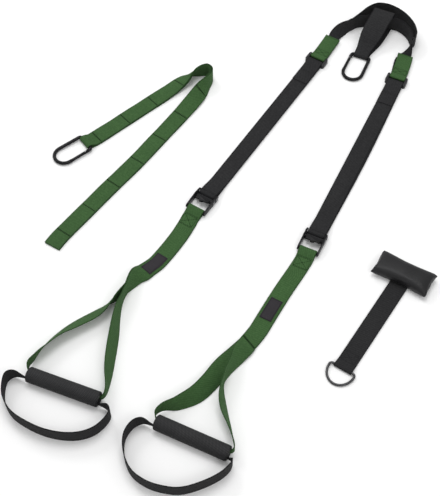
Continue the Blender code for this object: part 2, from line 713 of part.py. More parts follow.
def build_keeper(prefix, leg, run, skew, materials):
    """A moulded ring round the layers, with one bar for the tail and one for the pull tab."""
    slide = frame(f"{prefix}_keeper_joint", leg, (0, -TAB_LENGTH - KEEPER_LENGTH / 2, 0))
    half = KEEPER_LENGTH / 2
    corners = []
    for x in (KEEPER_WIDTH / 2 - KEEPER_CORNER, KEEPER_CORNER - KEEPER_WIDTH / 2):
        for y in (half - KEEPER_CORNER, KEEPER_CORNER - half):
            corners.append((x, y, KEEPER_CORNER))
    body = finish(
        f"{prefix}_keeper", hull_mesh("keeper", upright(corners, 0, KEEPER_HEIGHT)),
        materials["black_plastic"], slide,
    )
    inside = KEEPER_INSIDE / 2
    window = box_mesh("window", (-inside, -half - OVERRUN, WEB_THICKNESS),
                      (inside, half + OVERRUN, KEEPER_HEIGHT + OVERRUN))
    combine(body, helper(f"{prefix}_keeper_window", window, slide), "DIFFERENCE")
    bar_z = keeper_bar_height()
    for label, y in (("tail", -KEEPER_BAR_SPACING / 2), ("tab", KEEPER_BAR_SPACING / 2)):
        bar = plate("bar", [(y, bar_z, KEEPER_BAR_RADIUS)], -inside - SEAT_GAP * 3, inside + SEAT_GAP * 3)
        combine(body, helper(f"{prefix}_keeper_{label}_bar", bar, slide), "UNION")

    low = 2 * PLY_STEP
    tab_bar = Vector((0, KEEPER_BAR_SPACING / 2, bar_z))
    tab_end = TAB_LENGTH + half
    tab_middle = low + DOUBLE_THICKNESS / 2
    tab = []
    for share, lift in ((1.0, 0), (0.8, 0), (0.6, 0), (0.42, 0), (0.3, 0), (0.2, 0.04), (0.1, 0.4), (0.04, 0.8), (0, 1.0)):
        y = tab_bar.y + (tab_end - tab_bar.y) * share
        z = tab_middle + (bar_z - tab_middle) * lift
        tab.append(Station(Vector((skew * share**1.6, y, z)), Vector((1, 0, 0)), TAB_WIDTH, WEB_THICKNESS))
    mesh = strap_mesh("tab", folded(tab, KEEPER_BAR_RADIUS, TAB_FLARE))
    finish(f"{prefix}_pull_tab", mesh, materials["green_webbing"], slide)

    tail_bar = Vector((0, -KEEPER_BAR_SPACING / 2, bar_z))
    turn_end = -(run - TAB_LENGTH - half) + TURN_LEAD
    radius = seat_radius(KEEPER_BAR_RADIUS)
    layer = low + WEB_THICKNESS / 2
    crest = bar_height() + seat_radius(GRIP_BAR_RADIUS)
    across = Vector((1, 0, 0))
    tail = []
    for i in range(9):
        y = turn_end + TAIL_DROP * i / 8
        tail.append(Station(Vector((0, y, crest + (layer - crest) * ease(i / 8))), across, WEB_WIDTH, WEB_THICKNESS))
    for i in range(1, 9):
        y = turn_end + TAIL_DROP + (tail_bar.y - turn_end - TAIL_DROP) * i / 8
        tail.append(Station(Vector((0, y, layer)), across, WEB_WIDTH, WEB_THICKNESS))
    tail += turn_round(tail_bar, radius, Vector((0, 0, -1)), across, WEB_WIDTH, -math.pi)[1:]
    lap_rise = 2 * radius
    for i in range(1, 9):
        y = tail_bar.y - TAIL_LAP * i / 8
        z = layer + PLY_STEP + (lap_rise - PLY_STEP) * (1 - ease((tail_bar.y - y) / (2 * TAIL_FLARE)))
        tail.append(Station(Vector((0, y, z)), across, WEB_WIDTH, WEB_THICKNESS))
    finish(f"{prefix}_tail", strap_mesh("tail", tail), materials["black_webbing"], slide)


# Cam buckles

def cam_pin_back():
    """How far the cam's pin lies behind the grip bar, with the crest of the cam at the webbing."""
    return seat_radius(GRIP_BAR_RADIUS) + WEB_THICKNESS / 2 + SEAT_GAP + CAM_CREST


def build_buckle(prefix, leg, run, materials):
    slide = frame(f"{prefix}_buckle_joint", leg, (0, -run, 0))
    height = bar_height()
    inside = BUCKLE_INSIDE / 2
    outside = inside + CHEEK_THICKNESS
    back = cam_pin_back()
    cam_centre = height + CHEEK_CAM_RADIUS - CHEEK_RADIUS
    circles = [
        (0, height, CHEEK_RADIUS), (-back, cam_centre, CHEEK_CAM_RADIUS), (-BUCKLE_SPAN, height, CHEEK_END_RADIUS),
    ]
    body = finish(
        f"{prefix}_buckle_frame", plate("cheek", circles, -outside, -inside), materials["black_metal"], slide
    )
    joint_depth = CHEEK_THICKNESS / 2
    end_bar = plate("bar", [(-BUCKLE_SPAN, height, END_BAR_RADIUS)], -inside - joint_depth, inside + joint_depth)
    combine(body, helper(f"{prefix}_end_bar", end_bar, slide), "UNION")
    combine(body, helper(f"{prefix}_far_cheek", plate("cheek", circles, inside, outside), slide), "UNION")
    for label, y, radius in (("grip", 0, GRIP_BAR_RADIUS), ("cam", -back, CAM_PIN_RADIUS)):
        hole = plate("hole", [(y, height, radius + SEAT_GAP)], -outside - OVERRUN, outside + OVERRUN)
        combine(body, helper(f"{prefix}_{label}_holes", hole, slide), "DIFFERENCE")

    for name, y, radius in (("grip_bar", 0, GRIP_BAR_RADIUS), ("cam_pin", -back, CAM_PIN_RADIUS)):
        head = max(PIN_HEAD_RADIUS, radius + PIN_HEAD_HEIGHT)
        pin = headed_pin("pin", radius, head, PIN_HEAD_HEIGHT, outside + SEAT_GAP)
        pin.transform(Matrix.Translation((0, y, height)))
        finish(f"{prefix}_{name}", pin, materials["steel"], slide)

    build_cam(prefix, slide, back, height, inside, materials)
    across = Vector((1, 0, 0))
    radius = seat_radius(GRIP_BAR_RADIUS)
    bar = Vector((0, 0, height))
    turn = turn_round(bar, radius, Vector((0, 0, -1)), across, WEB_WIDTH, math.pi, 12)
    start = Station(bar + Vector((0, TURN_LEAD, -radius)), across, WEB_WIDTH, WEB_THICKNESS)
    end = Station(bar + Vector((0, TURN_LEAD - SEAT_GAP, radius)), across, WEB_WIDTH, WEB_THICKNESS)
    mesh = strap_mesh("turn", [start] + turn + [end])
    finish(f"{prefix}_strap_turn", mesh, materials["black_webbing"], slide)
    return slide


def build_cam(prefix, slide, back, height, inside, materials):
    """The toothed cam faces the webbing on the grip bar, and its lever points the other way."""
    hinge = frame(f"{prefix}_lever_joint", slide, (0, -back, height))
    half = inside - CAM_SIDE_GAP
    outline = []
    tooth_steps = 2 * CAM_TEETH
    for i in range(tooth_steps + 1):
        share = i / tooth_steps
        angle = math.radians(CAM_SECTOR * (share - CAM_FRONT_SHARE))
        crest = CAM_CREST - CAM_LIFT * max(0.0, 1 - share / CAM_FRONT_SHARE)
        radius = crest if i % 2 == 0 else crest - TOOTH_DEPTH
        outline.append((radius * math.cos(angle), radius * math.sin(angle)))
    first = math.radians(CAM_SECTOR * (1 - CAM_FRONT_SHARE))
    sweep = 2 * math.pi - math.radians(CAM_SECTOR)
    round_steps = 14
    for i in range(1, round_steps):
        angle = first + sweep * i / round_steps
        outline.append((CAM_RADIUS * math.cos(angle), CAM_RADIUS * math.sin(angle)))
    lever = finish(f"{prefix}_cam_lever", prism("cam", outline, -half, half), materials["black_metal"], hinge)

    rise = math.radians(LEVER_RISE)
    along = Vector((0, -math.cos(rise), math.sin(rise)))
    over = Vector((0, math.sin(rise), math.cos(rise)))
    root_height = CAM_RADIUS - LEVER_THICKNESS
    half_lever = LEVER_WIDTH / 2
    blade = []
    for x in (-half_lever, half_lever):
        for run in (0, LEVER_LENGTH - THUMB_RADIUS / 2):
            for depth in (root_height, root_height + LEVER_THICKNESS):
                blade.append(Vector((x, 0, 0)) + along * run + over * depth)
    combine(lever, helper(f"{prefix}_lever_blade", hull_mesh("blade", blade), hinge), "UNION")
    thumb = []
    for x, y in round_outline([(0, 0, THUMB_RADIUS)]):
        for depth in (root_height - SEAT_GAP, root_height + LEVER_THICKNESS + SEAT_GAP):
            thumb.append(Vector((x, 0, 0)) + along * (LEVER_LENGTH - THUMB_RADIUS / 2 - y) + over * depth)
    combine(lever, helper(f"{prefix}_thumb_tab", hull_mesh("thumb", thumb), hinge), "UNION")
    bore = plate("bore", [(0, 0, CAM_PIN_RADIUS + SEAT_GAP)], -half - OVERRUN, half + OVERRUN)
    combine(lever, helper(f"{prefix}_cam_bore", bore, hinge), "DIFFERENCE")
    spring_run = SPRING_TURNS * SPRING_PITCH
    pocket_start = half - spring_run - 6 * SPRING_WIRE - SEAT_GAP
    pocket = plate("pocket", [(0, 0, SPRING_POCKET)], pocket_start, half + OVERRUN)
    combine(lever, helper(f"{prefix}_spring_pocket", pocket, hinge), "DIFFERENCE")

    points = [Vector((pocket_start + SEAT_GAP, SPRING_RADIUS, 0))]
    sides = 9
    for i in range(SPRING_TURNS * sides + 1):
        angle = 2 * math.pi * i / sides
        x = pocket_start + SEAT_GAP + 3 * SPRING_WIRE + spring_run * i / (SPRING_TURNS * sides)
        points.append(Vector((x, SPRING_RADIUS * math.cos(angle), SPRING_RADIUS * math.sin(angle))))
    points.append(Vector((inside - SEAT_GAP, SPRING_RADIUS, 0)))
    spring = rod_mesh("spring", [p + Vector((0, -back, height)) for p in points], SPRING_WIRE, 6)
    finish(f"{prefix}_cam_spring", spring, materials["steel"], slide)
    print(f"{prefix} spring gap {(SPRING_PITCH - 2 * SPRING_WIRE) * 1000:.2f} mm")


# Lower straps and handles

def lower_route(shares, length, run):
    """Knots of the doubled strap in the leg's frame, from the split up to the buckle's end bar."""
    knots = []
    for across, along, roll in shares:
        knots.append((WEB_WIDTH * across, length * along - run - BUCKLE_SPAN, 0, roll, WEB_WIDTH))
    return knots


def arm_knots(leg, handle, shares, height):
    """Knots of one arm of the handle's loop, from the handle's frame to the leg's."""
    knots = []
    move = leg.matrix_world.inverted() @ handle.matrix_world
    for across, along, lift, roll, width in shares:
        place = move @ Vector((GRIP_LENGTH * across, height * along, 0))
        knots.append((place.x, place.y, lift * GRIP_RADIUS / 3, roll, WEB_WIDTH * width))
    return knots


def core_knots(leg, handle, offset, width, ends):
    """Knots of the gathered webbing in the grip's bore."""
    knots = []
    move = leg.matrix_world.inverted() @ handle.matrix_world
    for share in ends:
        place = move @ Vector((GRIP_LENGTH * share, offset, 0))
        knots.append((place.x, place.y, GRIP_RADIUS - width / 2, 90, width))
    return knots


def rise_to_bar(stations, height):
    """Lifts the last stretch of a strap from the floor to a bar."""
    lifted = []
    end = stations[-1].middle
    for station in stations:
        share = 1 - ease((station.middle - end).length / LOWER_FLARE)
        z = station.middle.z + (height - station.middle.z) * share
        lifted.append(station._replace(middle=Vector((station.middle.x, station.middle.y, z))))
    return lifted


def stretch_of(stations, start, length):
    """The part of a strap that begins at a distance from its first station, with exact ends."""
    part, gone = [], 0.0
    for before, after in zip(stations, stations[1:]):
        span = (after.middle - before.middle).length
        for edge in (start, start + length):
            if gone < edge <= gone + span:
                share = (edge - gone) / span
                middle = before.middle.lerp(after.middle, share)
                part.append(before._replace(middle=middle, across=before.across.lerp(after.across, share)))
        gone += span
        if start < gone < start + length:
            part.append(after)
    return part


def build_lower_strap(prefix, leg, slide, handle, run, length, loop_height, tables, materials):
    """One closed loop of webbing: doubled from the buckle to the split, then an arm to each end of the
    grip, and gathered through its bore."""
    lower_shares, near_shares, far_shares = tables
    doubled = rise_to_bar(laid(lower_route(lower_shares, length, run), DOUBLE_THICKNESS), bar_height())
    roll = lower_shares[0][2]
    loop = folded(doubled, END_BAR_RADIUS, LOWER_FLARE)
    lift = PLY_STEP * abs(math.cos(math.radians(roll)))
    before, split = loop[-1 - STEPS].middle, loop[-1].middle
    rejoin, after = loop[0].middle, loop[STEPS].middle
    knots = [(before.x, before.y, 0, 180 - roll, WEB_WIDTH), (split.x, split.y, 0, 180 - roll, WEB_WIDTH)]
    knots += arm_knots(leg, handle, near_shares, loop_height)
    knots += core_knots(leg, handle, CORE_OFFSET, CORE_WIDTH, CORE_SHARES)
    knots += arm_knots(leg, handle, far_shares, loop_height)
    knots += [(rejoin.x, rejoin.y, lift, roll, WEB_WIDTH), (after.x, after.y, lift, roll, WEB_WIDTH)]
    arms = laid(knots)[STEPS + 2:-STEPS - 2]
    stations = loop + arms
    move = slide.matrix_world.inverted() @ leg.matrix_world
    turn = move.to_3x3()
    stations = [s._replace(middle=move @ s.middle, across=turn @ s.across) for s in stations]
    mesh = strap_mesh("loop", stations, closed=True)
    finish(f"{prefix}_lower_strap", mesh, materials["green_webbing"], slide)

    rise = (WEB_THICKNESS + LABEL_THICKNESS) / 2 + 2 * SEAT_GAP
    patch = stretch_of(stations[:len(doubled)][::-1], LABEL_PLACE - LABEL_LENGTH / 2, LABEL_LENGTH)
    patch = [s._replace(width=LABEL_WIDTH, thickness=LABEL_THICKNESS) for s in patch]
    raised = [s._replace(middle=s.middle - out * rise) for s, out in zip(patch, normals(patch))]
    finish(f"{prefix}_label", strap_mesh("label", raised), materials["label_cloth"], slide)


def cradle_seat():
    """How far from the grip's line the cradle's webbing lies, with its edges on the wall of the tube."""
    wall = GRIP_BORE - SEAT_GAP - TUBE_WALL
    return math.sqrt((wall - SEAT_GAP) ** 2 - (CRADLE_CORE_WIDTH / 2) ** 2) - WEB_THICKNESS / 2


def build_handle(prefix, handle, cradle_shares, materials):
    """The grip turns on its tube, and the cradle swings about the same line."""
    half = GRIP_LENGTH / 2
    small = GRIP_END_ROUND
    rounding = []
    for i in range(4):
        angle = math.pi / 2 * i / 3
        rounding.append((half - small + small * math.sin(angle), GRIP_RADIUS - small + small * math.cos(angle)))
    profile = [(-half, GRIP_BORE), (half, GRIP_BORE)] + rounding[::-1] + [(-x, r) for x, r in rounding]
    axis = frame(f"{prefix}_grip_joint", handle, (0, 0, GRIP_RADIUS))
    finish(f"{prefix}_grip", turned("grip", profile, GRIP_SIDES), materials["grip_rubber"], axis)
    outer = GRIP_BORE - SEAT_GAP
    end = half + TUBE_PROUD
    tube = [(-end, outer - TUBE_WALL), (end, outer - TUBE_WALL), (end, outer), (-end, outer)]
    finish(f"{prefix}_grip_tube", turned("tube", tube, GRIP_SIDES), materials["black_plastic"], axis)

    swing = frame(f"{prefix}_cradle_joint", handle, (0, 0, GRIP_RADIUS))
    seat = -cradle_seat()
    knots = core_knots(handle, handle, seat, CRADLE_CORE_WIDTH, (0.0, 0.42, 0.50, 0.53))
    for across, along, lift, roll, width in cradle_shares:
        knots.append((GRIP_LENGTH * across, CRADLE_DEPTH * along, lift * GRIP_RADIUS / 3, roll, WEB_WIDTH * width))
    knots += core_knots(handle, handle, seat, CRADLE_CORE_WIDTH, (-0.53, -0.50, -0.42, 0.0))
    stations = laid(knots, steps=STEPS - 1)[:-1]
    stations = [s._replace(middle=s.middle - UP * GRIP_RADIUS) for s in stations]
    mesh = strap_mesh("cradle", stations, closed=True)
    finish(f"{prefix}_cradle", mesh, materials["black_webbing"], swing)


# Anchor strap and door anchor

def tilt_of(rise, reach):
    """How far a flat piece tips, hung at its rise above the floor with its far edge on the floor."""
    return math.degrees(math.asin(rise / reach))


def build_anchor(trainer, materials):
    """A strap of two plies, sewn across at every pitch, which the carabiner's bar closes at one end."""
    base = frame("anchor", trainer, (ANCHOR_X, ANCHOR_Y, 0), ANCHOR_TURN)
    knots = []
    for i, (across, along, roll) in enumerate(ANCHOR_SHARES):
        last = i == len(ANCHOR_SHARES) - 1
        knots.append((ANCHOR_SPREAD * across, ANCHOR_RUN * along, 0, roll, LOOP_WIDTH if last else WEB_WIDTH))
    near = (0, LOOP_FLARE, 0, 0, WEB_WIDTH)
    knots.insert(-1, near)
    stations = rise_to_bar(laid(knots, DOUBLE_THICKNESS + 2 * ANCHOR_PUFF), bar_rise() + ANCHOR_PUFF)

    def puff(distance):
        return ANCHOR_PUFF * abs(math.sin(math.pi * distance / ANCHOR_PITCH))

    mesh = strap_mesh("anchor", folded(stations, ROD_RADIUS, LOOP_FLARE, puff))
    finish("anchor_strap", mesh, materials["green_webbing"], base)
    tilt = tilt_of(PLY_STEP + ANCHOR_PUFF, CARABINER_LENGTH)
    hook = frame("anchor_carabiner_joint", base, (0, 0, bar_rise() + ANCHOR_PUFF), 0, tilt)
    build_carabiner("anchor", hook, 1, materials)


def build_pad(base, materials):
    """A stuffed bar: crowned, with its sides drawn in between the corners, and flat where it lies."""
    bm = bmesh.new()
    rings = []
    slices, sides = 20, 28
    for i in range(slices + 1):
        share = -math.cos(math.pi * i / slices)
        end_fullness = max(0.0, 1 - abs(share) ** 5) ** 0.4
        fullness = 0.16 + 0.84 * end_fullness
        ring = []
        for k in range(sides):
            angle = 2 * math.pi * k / sides
            c, s = math.cos(angle), math.sin(angle)
            y = math.copysign(abs(c) ** 0.62, c) * (PAD_DEPTH / 2 - PAD_DRAWN_IN * (1 - share**2))
            z = math.copysign(abs(s) ** 0.9, s) * PAD_HEIGHT / 2 * fullness
            bow = PAD_DRAWN_IN * (1 - abs(c)) * abs(share) ** 6
            ring.append(bm.verts.new((share * (PAD_WIDTH / 2 - bow), y, z + PAD_HEIGHT / 2)))
        rings.append(ring)
    bridge_rings(bm, rings, False)
    pad = finish("door_pad", mesh_from(bm, "pad"), materials["pad_cover"], base)
    return pad


def build_door_anchor(trainer, materials):
    base = frame("door_anchor", trainer, (PAD_X, PAD_Y, -PAD_FLAT_CUT), PAD_TURN)
    pad = build_pad(base, materials)
    half_width, half_depth = PAD_WIDTH / 2 + OVERRUN, PAD_DEPTH / 2 + OVERRUN
    sole = box_mesh("sole", (-half_width, -half_depth, -OVERRUN), (half_width, half_depth, PAD_FLAT_CUT))
    combine(pad, helper("door_pad_sole", sole, base), "DIFFERENCE")

    lead = frame("door_strap_line", base, (0, -PAD_DEPTH / 2, PAD_FLAT_CUT), DOOR_STRAP_TURN)
    bar_z = RING_RADIUS + PLY_STEP
    start = DOOR_STRAP_TUCK
    knots = []
    for share in (0, 0.1, 0.3, 0.55, 0.8, 1.0):
        knots.append((0, start - (start + DOOR_STRAP_LENGTH) * share, 0, 0, WEB_WIDTH))
    stations = rise_to_bar(laid(knots, DOUBLE_THICKNESS), bar_z)
    mesh = strap_mesh("strap", folded(stations, RING_RADIUS, DOOR_STRAP_FLARE))
    finish("door_strap", mesh, materials["black_webbing"], lead)
    half = WEB_WIDTH / 2 + SEAT_GAP
    pocket = box_mesh("pocket", (-half, -PAD_DEPTH, -OVERRUN), (half, start + SEAT_GAP, DOUBLE_THICKNESS + SEAT_GAP))
    combine(pad, helper("door_pad_pocket", pocket, lead), "DIFFERENCE")

    tilt = tilt_of(PLY_STEP, RING_DEPTH)
    swing = frame("door_ring_joint", lead, (0, -DOOR_STRAP_LENGTH, bar_z), 0, tilt)
    half = RING_WIDTH / 2 - RING_RADIUS
    points = arc(Vector((half - RING_CORNER, -RING_CORNER, 0)), RING_CORNER, 0, 90, 4)
    points += arc(Vector((RING_CORNER - half, -RING_CORNER, 0)), RING_CORNER, 90, 180, 4)
    bow_depth = RING_DEPTH - 2 * RING_RADIUS - RING_CORNER
    for i in range(1, 16):
        angle = math.pi + math.pi * i / 16
        points.append(Vector((half * math.cos(angle), -RING_CORNER + bow_depth * math.sin(angle), 0)))
    mesh = rod_mesh("ring", points, RING_RADIUS, ROD_SIDES, closed=True)
    finish("door_ring", mesh, materials["steel"], swing)


# Assembly

def build_leg(prefix, trainer, place, lean, run, skew, bow, length, handle_place, handle_turn, loop_height,
              tables, cradle_shares, materials):
    leg = frame(f"{prefix}_leg", trainer, place, -lean)
    build_main_strap(prefix, leg, run, skew, bow, materials)
    build_keeper(prefix, leg, run, skew, materials)
    slide = build_buckle(prefix, leg, run, materials)
    handle = frame(f"{prefix}_handle", slide, handle_place + Vector((0, run, 0)), handle_turn)
    build_lower_strap(prefix, leg, slide, handle, run, length, loop_height, tables, materials)
    build_handle(prefix, handle, cradle_shares, materials)
    return leg


def centre_footprint(trainer):
    """Moves the whole trainer so that the origin is the middle of its footprint, on the floor."""
    bpy.context.view_layer.update()
    graph = bpy.context.evaluated_depsgraph_get()
    corners = []
    for piece in bpy.data.objects:
        if piece.type == "MESH" and not piece.hide_render:
            shape = piece.evaluated_get(graph)
            corners += [shape.matrix_world @ v.co for v in shape.data.vertices]
    low = [min(c[i] for c in corners) for i in range(3)]
    high = [max(c[i] for c in corners) for i in range(3)]
    print("lowest", [round(v * 1000, 2) for v in low], "highest", [round(v * 1000, 2) for v in high])
    trainer.location = (-(low[0] + high[0]) / 2, -(low[1] + high[1]) / 2, -low[2])
    bpy.context.view_layer.update()


def main():
    clear_scene()
    materials = make_materials()
    trainer = frame("trainer", None, (0, 0, 0))
    left = build_leg(
        "left", trainer, (LEFT_X, LEFT_Y, 0), LEFT_LEAN, LEFT_RUN, LEFT_TAB_SKEW, LEFT_BOW, LEFT_LOWER_LENGTH,
        Vector((LEFT_HANDLE_X, LEFT_HANDLE_Y, 0)), LEFT_HANDLE_TURN, LEFT_LOOP_HEIGHT,
        (LEFT_LOWER_SHARES, LEFT_ARM_SHARES, LEFT_FAR_ARM_SHARES), LEFT_CRADLE_SHARES, materials,
    )
    right = build_leg(
        "right", trainer, (RIGHT_X, RIGHT_Y, 0), RIGHT_LEAN, RIGHT_RUN, RIGHT_TAB_SKEW, RIGHT_BOW, RIGHT_LOWER_LENGTH,
        Vector((RIGHT_HANDLE_X, RIGHT_HANDLE_Y, 0)), RIGHT_HANDLE_TURN, RIGHT_LOOP_HEIGHT,
        (RIGHT_LOWER_SHARES, RIGHT_ARM_SHARES, RIGHT_FAR_ARM_SHARES), RIGHT_CRADLE_SHARES, materials,
    )
    inner = build_yoke(trainer, left, right, materials)
    sling = frame("locking_strap_line", trainer, (LOCKING_X, LOCKING_BAR_Y, bar_rise()), LOCKING_TURN)
    half = LOCKING_WIDTH / 2
    places = band_places(inner, LOCKING_X + LOCKING_DRIFT, half)
    near = min(places) - LOCKING_MARGIN - LOCKING_BAR_Y
    far = max(places) + LOCKING_REACH - LOCKING_BAR_Y
    build_locking_strap(sling, near, far, materials)
    hook = frame("main_carabiner_joint", sling, (0, 0, 0), 0, tilt_of(PLY_STEP, CARABINER_LENGTH))
    build_carabiner("main", hook, -1, materials)
    build_anchor(trainer, materials)
    build_door_anchor(trainer, materials)
    centre_footprint(trainer)
    for empty in bpy.data.objects:
        if empty.name.endswith("joint"):
            place = empty.matrix_world.translation
            axes = empty.matrix_world.to_3x3()
            sides = [[round(v, 5) for v in axes.col[i]] for i in range(3)]
            print(empty.name, [round(v, 5) for v in place], "X, Y, Z", sides)


main()
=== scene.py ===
"""Looks of the suspension trainer: webbing, stitching, metal, moulded pieces and the stuffed door stop,
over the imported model, lying on a white floor."""

import heapq
import json
import math
from types import SimpleNamespace

import bmesh
import bpy
from mathutils import Matrix, Vector
from mathutils.bvhtree import BVHTree

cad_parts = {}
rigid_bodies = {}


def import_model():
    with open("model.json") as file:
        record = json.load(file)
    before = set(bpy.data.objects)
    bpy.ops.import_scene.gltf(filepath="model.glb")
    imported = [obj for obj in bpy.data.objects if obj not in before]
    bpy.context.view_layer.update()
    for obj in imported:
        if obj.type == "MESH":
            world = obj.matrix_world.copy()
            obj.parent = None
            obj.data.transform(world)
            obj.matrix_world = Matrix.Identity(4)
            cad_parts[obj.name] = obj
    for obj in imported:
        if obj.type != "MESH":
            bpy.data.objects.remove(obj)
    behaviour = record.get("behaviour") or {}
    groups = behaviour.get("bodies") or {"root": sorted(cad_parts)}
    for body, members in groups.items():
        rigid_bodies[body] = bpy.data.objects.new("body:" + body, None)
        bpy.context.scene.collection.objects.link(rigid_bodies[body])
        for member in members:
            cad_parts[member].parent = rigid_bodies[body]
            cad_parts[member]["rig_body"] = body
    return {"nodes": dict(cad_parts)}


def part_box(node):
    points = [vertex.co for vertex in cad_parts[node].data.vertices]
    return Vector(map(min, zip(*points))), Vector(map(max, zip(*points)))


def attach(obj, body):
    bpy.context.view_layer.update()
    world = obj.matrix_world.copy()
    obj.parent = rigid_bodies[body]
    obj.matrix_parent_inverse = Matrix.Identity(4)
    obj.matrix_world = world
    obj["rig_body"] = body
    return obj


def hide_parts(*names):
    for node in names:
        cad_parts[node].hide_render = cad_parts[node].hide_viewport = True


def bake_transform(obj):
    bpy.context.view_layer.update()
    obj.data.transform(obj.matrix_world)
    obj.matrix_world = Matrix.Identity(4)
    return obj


for stray in list(bpy.data.objects):
    bpy.data.objects.remove(stray)
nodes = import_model()["nodes"]
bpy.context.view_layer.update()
MILLIMETRE = 0.001
UP = Vector((0, 0, 1))

# Yoke bands
# Two bands of black nylon webbing on edge, woven 38 mm wide with a tight selvedge, and sewn together
# where they come down on the legs. Every other strap of the trainer is cut from the same kind of
# webbing.

WEBBING_WIDTH = 38 * MILLIMETRE
WEBBING_THICKNESS = 1.8 * MILLIMETRE
SELVEDGE = 2.4 * MILLIMETRE
SELVEDGE_ROUND = 0.5 * MILLIMETRE
WARP_STEP = 1.35 * MILLIMETRE
WEFT_STEP = 2.1 * MILLIMETRE
WEAVE_DEPTH = 0.3 * MILLIMETRE
TWILL_STEP = 4.6 * MILLIMETRE
TWILL_SLOPE = 0.7
TWILL_DEPTH = 0.4
BLACK_WEBBING = (0.037, 0.037, 0.038)
# Painted shade: the deep colour fills the gaps between the yarns and darkens the selvedges.
BLACK_WEBBING_SHADE = (0.006, 0.006, 0.007)

THREAD_WIDTH = 1.24 * MILLIMETRE
THREAD_HEIGHT = 0.992 * MILLIMETRE
STRAND_DEPTH = 0.08 * MILLIMETRE
STITCH_LENGTH = 3.0 * MILLIMETRE
STITCH_STEP = 3.4 * MILLIMETRE
NEEDLE_REACH = 30 * MILLIMETRE
SEAM_INSET = 3.5 * MILLIMETRE
# Painted shade: thread is set darker than its strap, for the dip that each stitch pulls into the webbing.
BLACK_THREAD_SHADED = (0.012, 0.012, 0.013)

YOKE_SEAM_START = 2 * MILLIMETRE
YOKE_SEAM_RUN = 13 * MILLIMETRE
YOKE_SEAM_SIDES = (Vector((-0.6, 0.8, 0)), Vector((0.9, 0.4, 0)))

# How a strap's solid is read: its sharp and square corners, and shares of its thickness and width.
MERGE_WITHIN = 0.02 * MILLIMETRE
SHARP_TURN = math.radians(50)
SQUARE_TURN = (math.radians(80), math.radians(100))
PROBE_SHARE = 50
PLY_REACH = 1.5
FACE_REACH = 1.3
FULL_WIDTH = (0.85, 1.15)
CUT_WIDTH = 1.02
PLACE_DIGITS = 3


class Wire:
    """A value in a material, on which Python's own signs add Math nodes."""

    def __init__(self, tree, socket):
        self.tree = tree
        self.socket = socket

    def math(self, operation, *others):
        """The value after one Math node, with the others as its further inputs."""
        node = self.tree.nodes.new("ShaderNodeMath")
        node.operation = operation
        for slot, value in zip(node.inputs, (self, *others)):
            feed(self.tree, slot, value)
        return Wire(self.tree, node.outputs[0])

    def __add__(self, other):
        return self.math("ADD", other)

    def __sub__(self, other):
        return self.math("SUBTRACT", other)

    def __mul__(self, other):
        return self.math("MULTIPLY", other)

    def __truediv__(self, other):
        return self.math("DIVIDE", other)

    def wave(self):
        """From 0 to 1 and back once for each unit."""
        return (self * (2 * math.pi)).math("COSINE") * -0.5 + 0.5

    def ramp(self, low, high):
        """From 0 at low to 1 at high, smoothly."""
        node = self.tree.nodes.new("ShaderNodeMapRange")
        node.interpolation_type = "SMOOTHSTEP"
        feed(self.tree, node.inputs["Value"], self)
        node.inputs["From Min"].default_value = low
        node.inputs["From Max"].default_value = high
        return Wire(self.tree, node.outputs["Result"])


def feed(tree, slot, value):
    """Links a value into a node's input, or writes it there if it is plain."""
    if isinstance(value, Wire):
        tree.links.new(value.socket, slot)
    else:
        slot.default_value = value


class Finish:
    """A material under a Principled shader, with one call for any other node."""

    def __init__(self, name, specular=0.5):
        self.material = bpy.data.materials.new(name)
        self.material.use_nodes = True
        self.tree = self.material.node_tree
        self.shader = self.tree.nodes["Principled BSDF"]
        self.shader.inputs["Specular IOR Level"].default_value = specular

    def node(self, kind, settings=None, output=0, **sockets):
        """One output of a new node, with its settings and what goes into its inputs."""
        node = self.tree.nodes.new("ShaderNode" + kind)
        for key, value in (settings or {}).items():
            setattr(node, key, value)
        for key, value in sockets.items():
            feed(self.tree, node.inputs[key.replace("_", " ")], value)
        return Wire(self.tree, node.outputs[output])

    def axes(self, wire):
        """The x, y and z of a place."""
        node = self.tree.nodes.new("ShaderNodeSeparateXYZ")
        feed(self.tree, node.inputs[0], wire)
        return [Wire(self.tree, slot) for slot in node.outputs]

    def mapped(self, name):
        """What lies across and along a piece, in metres, from its own map."""
        return self.axes(self.node("UVMap", {"uv_map": name}))[:2]

    def place(self):
        """The place on the piece, in its own metres."""
        return self.node("TexCoord", output=3)

    def noise(self, scale, detail=2.0):
        """Soft random spots, so many to the metre."""
        return self.node("TexNoise", Vector=self.place(), Scale=scale, Detail=detail)

    def mix(self, share, first, second):
        """A share of the second colour over the first."""
        node = self.tree.nodes.new("ShaderNodeMix")
        node.data_type = "RGBA"
        feed(self.tree, node.inputs[0], share)
        for slot, colour in ((6, first), (7, second)):
            feed(self.tree, node.inputs[slot], colour if isinstance(colour, Wire) else (*colour, 1.0))
        return Wire(self.tree, node.outputs[2])

    def set(self, **values):
        """Gives the shader's inputs their values."""
        for key, value in values.items():
            feed(self.tree, self.shader.inputs[key.replace("_", " ")], value)

    def bump(self, height, distance):
        """Fine relief, so deep where the height goes from 0 to 1."""
        self.set(Normal=self.node("Bump", Height=height, Distance=distance))


def tinted(colour, share):
    """The same colour, darker below a share of 1 and lighter above it."""
    return [value * share for value in colour]


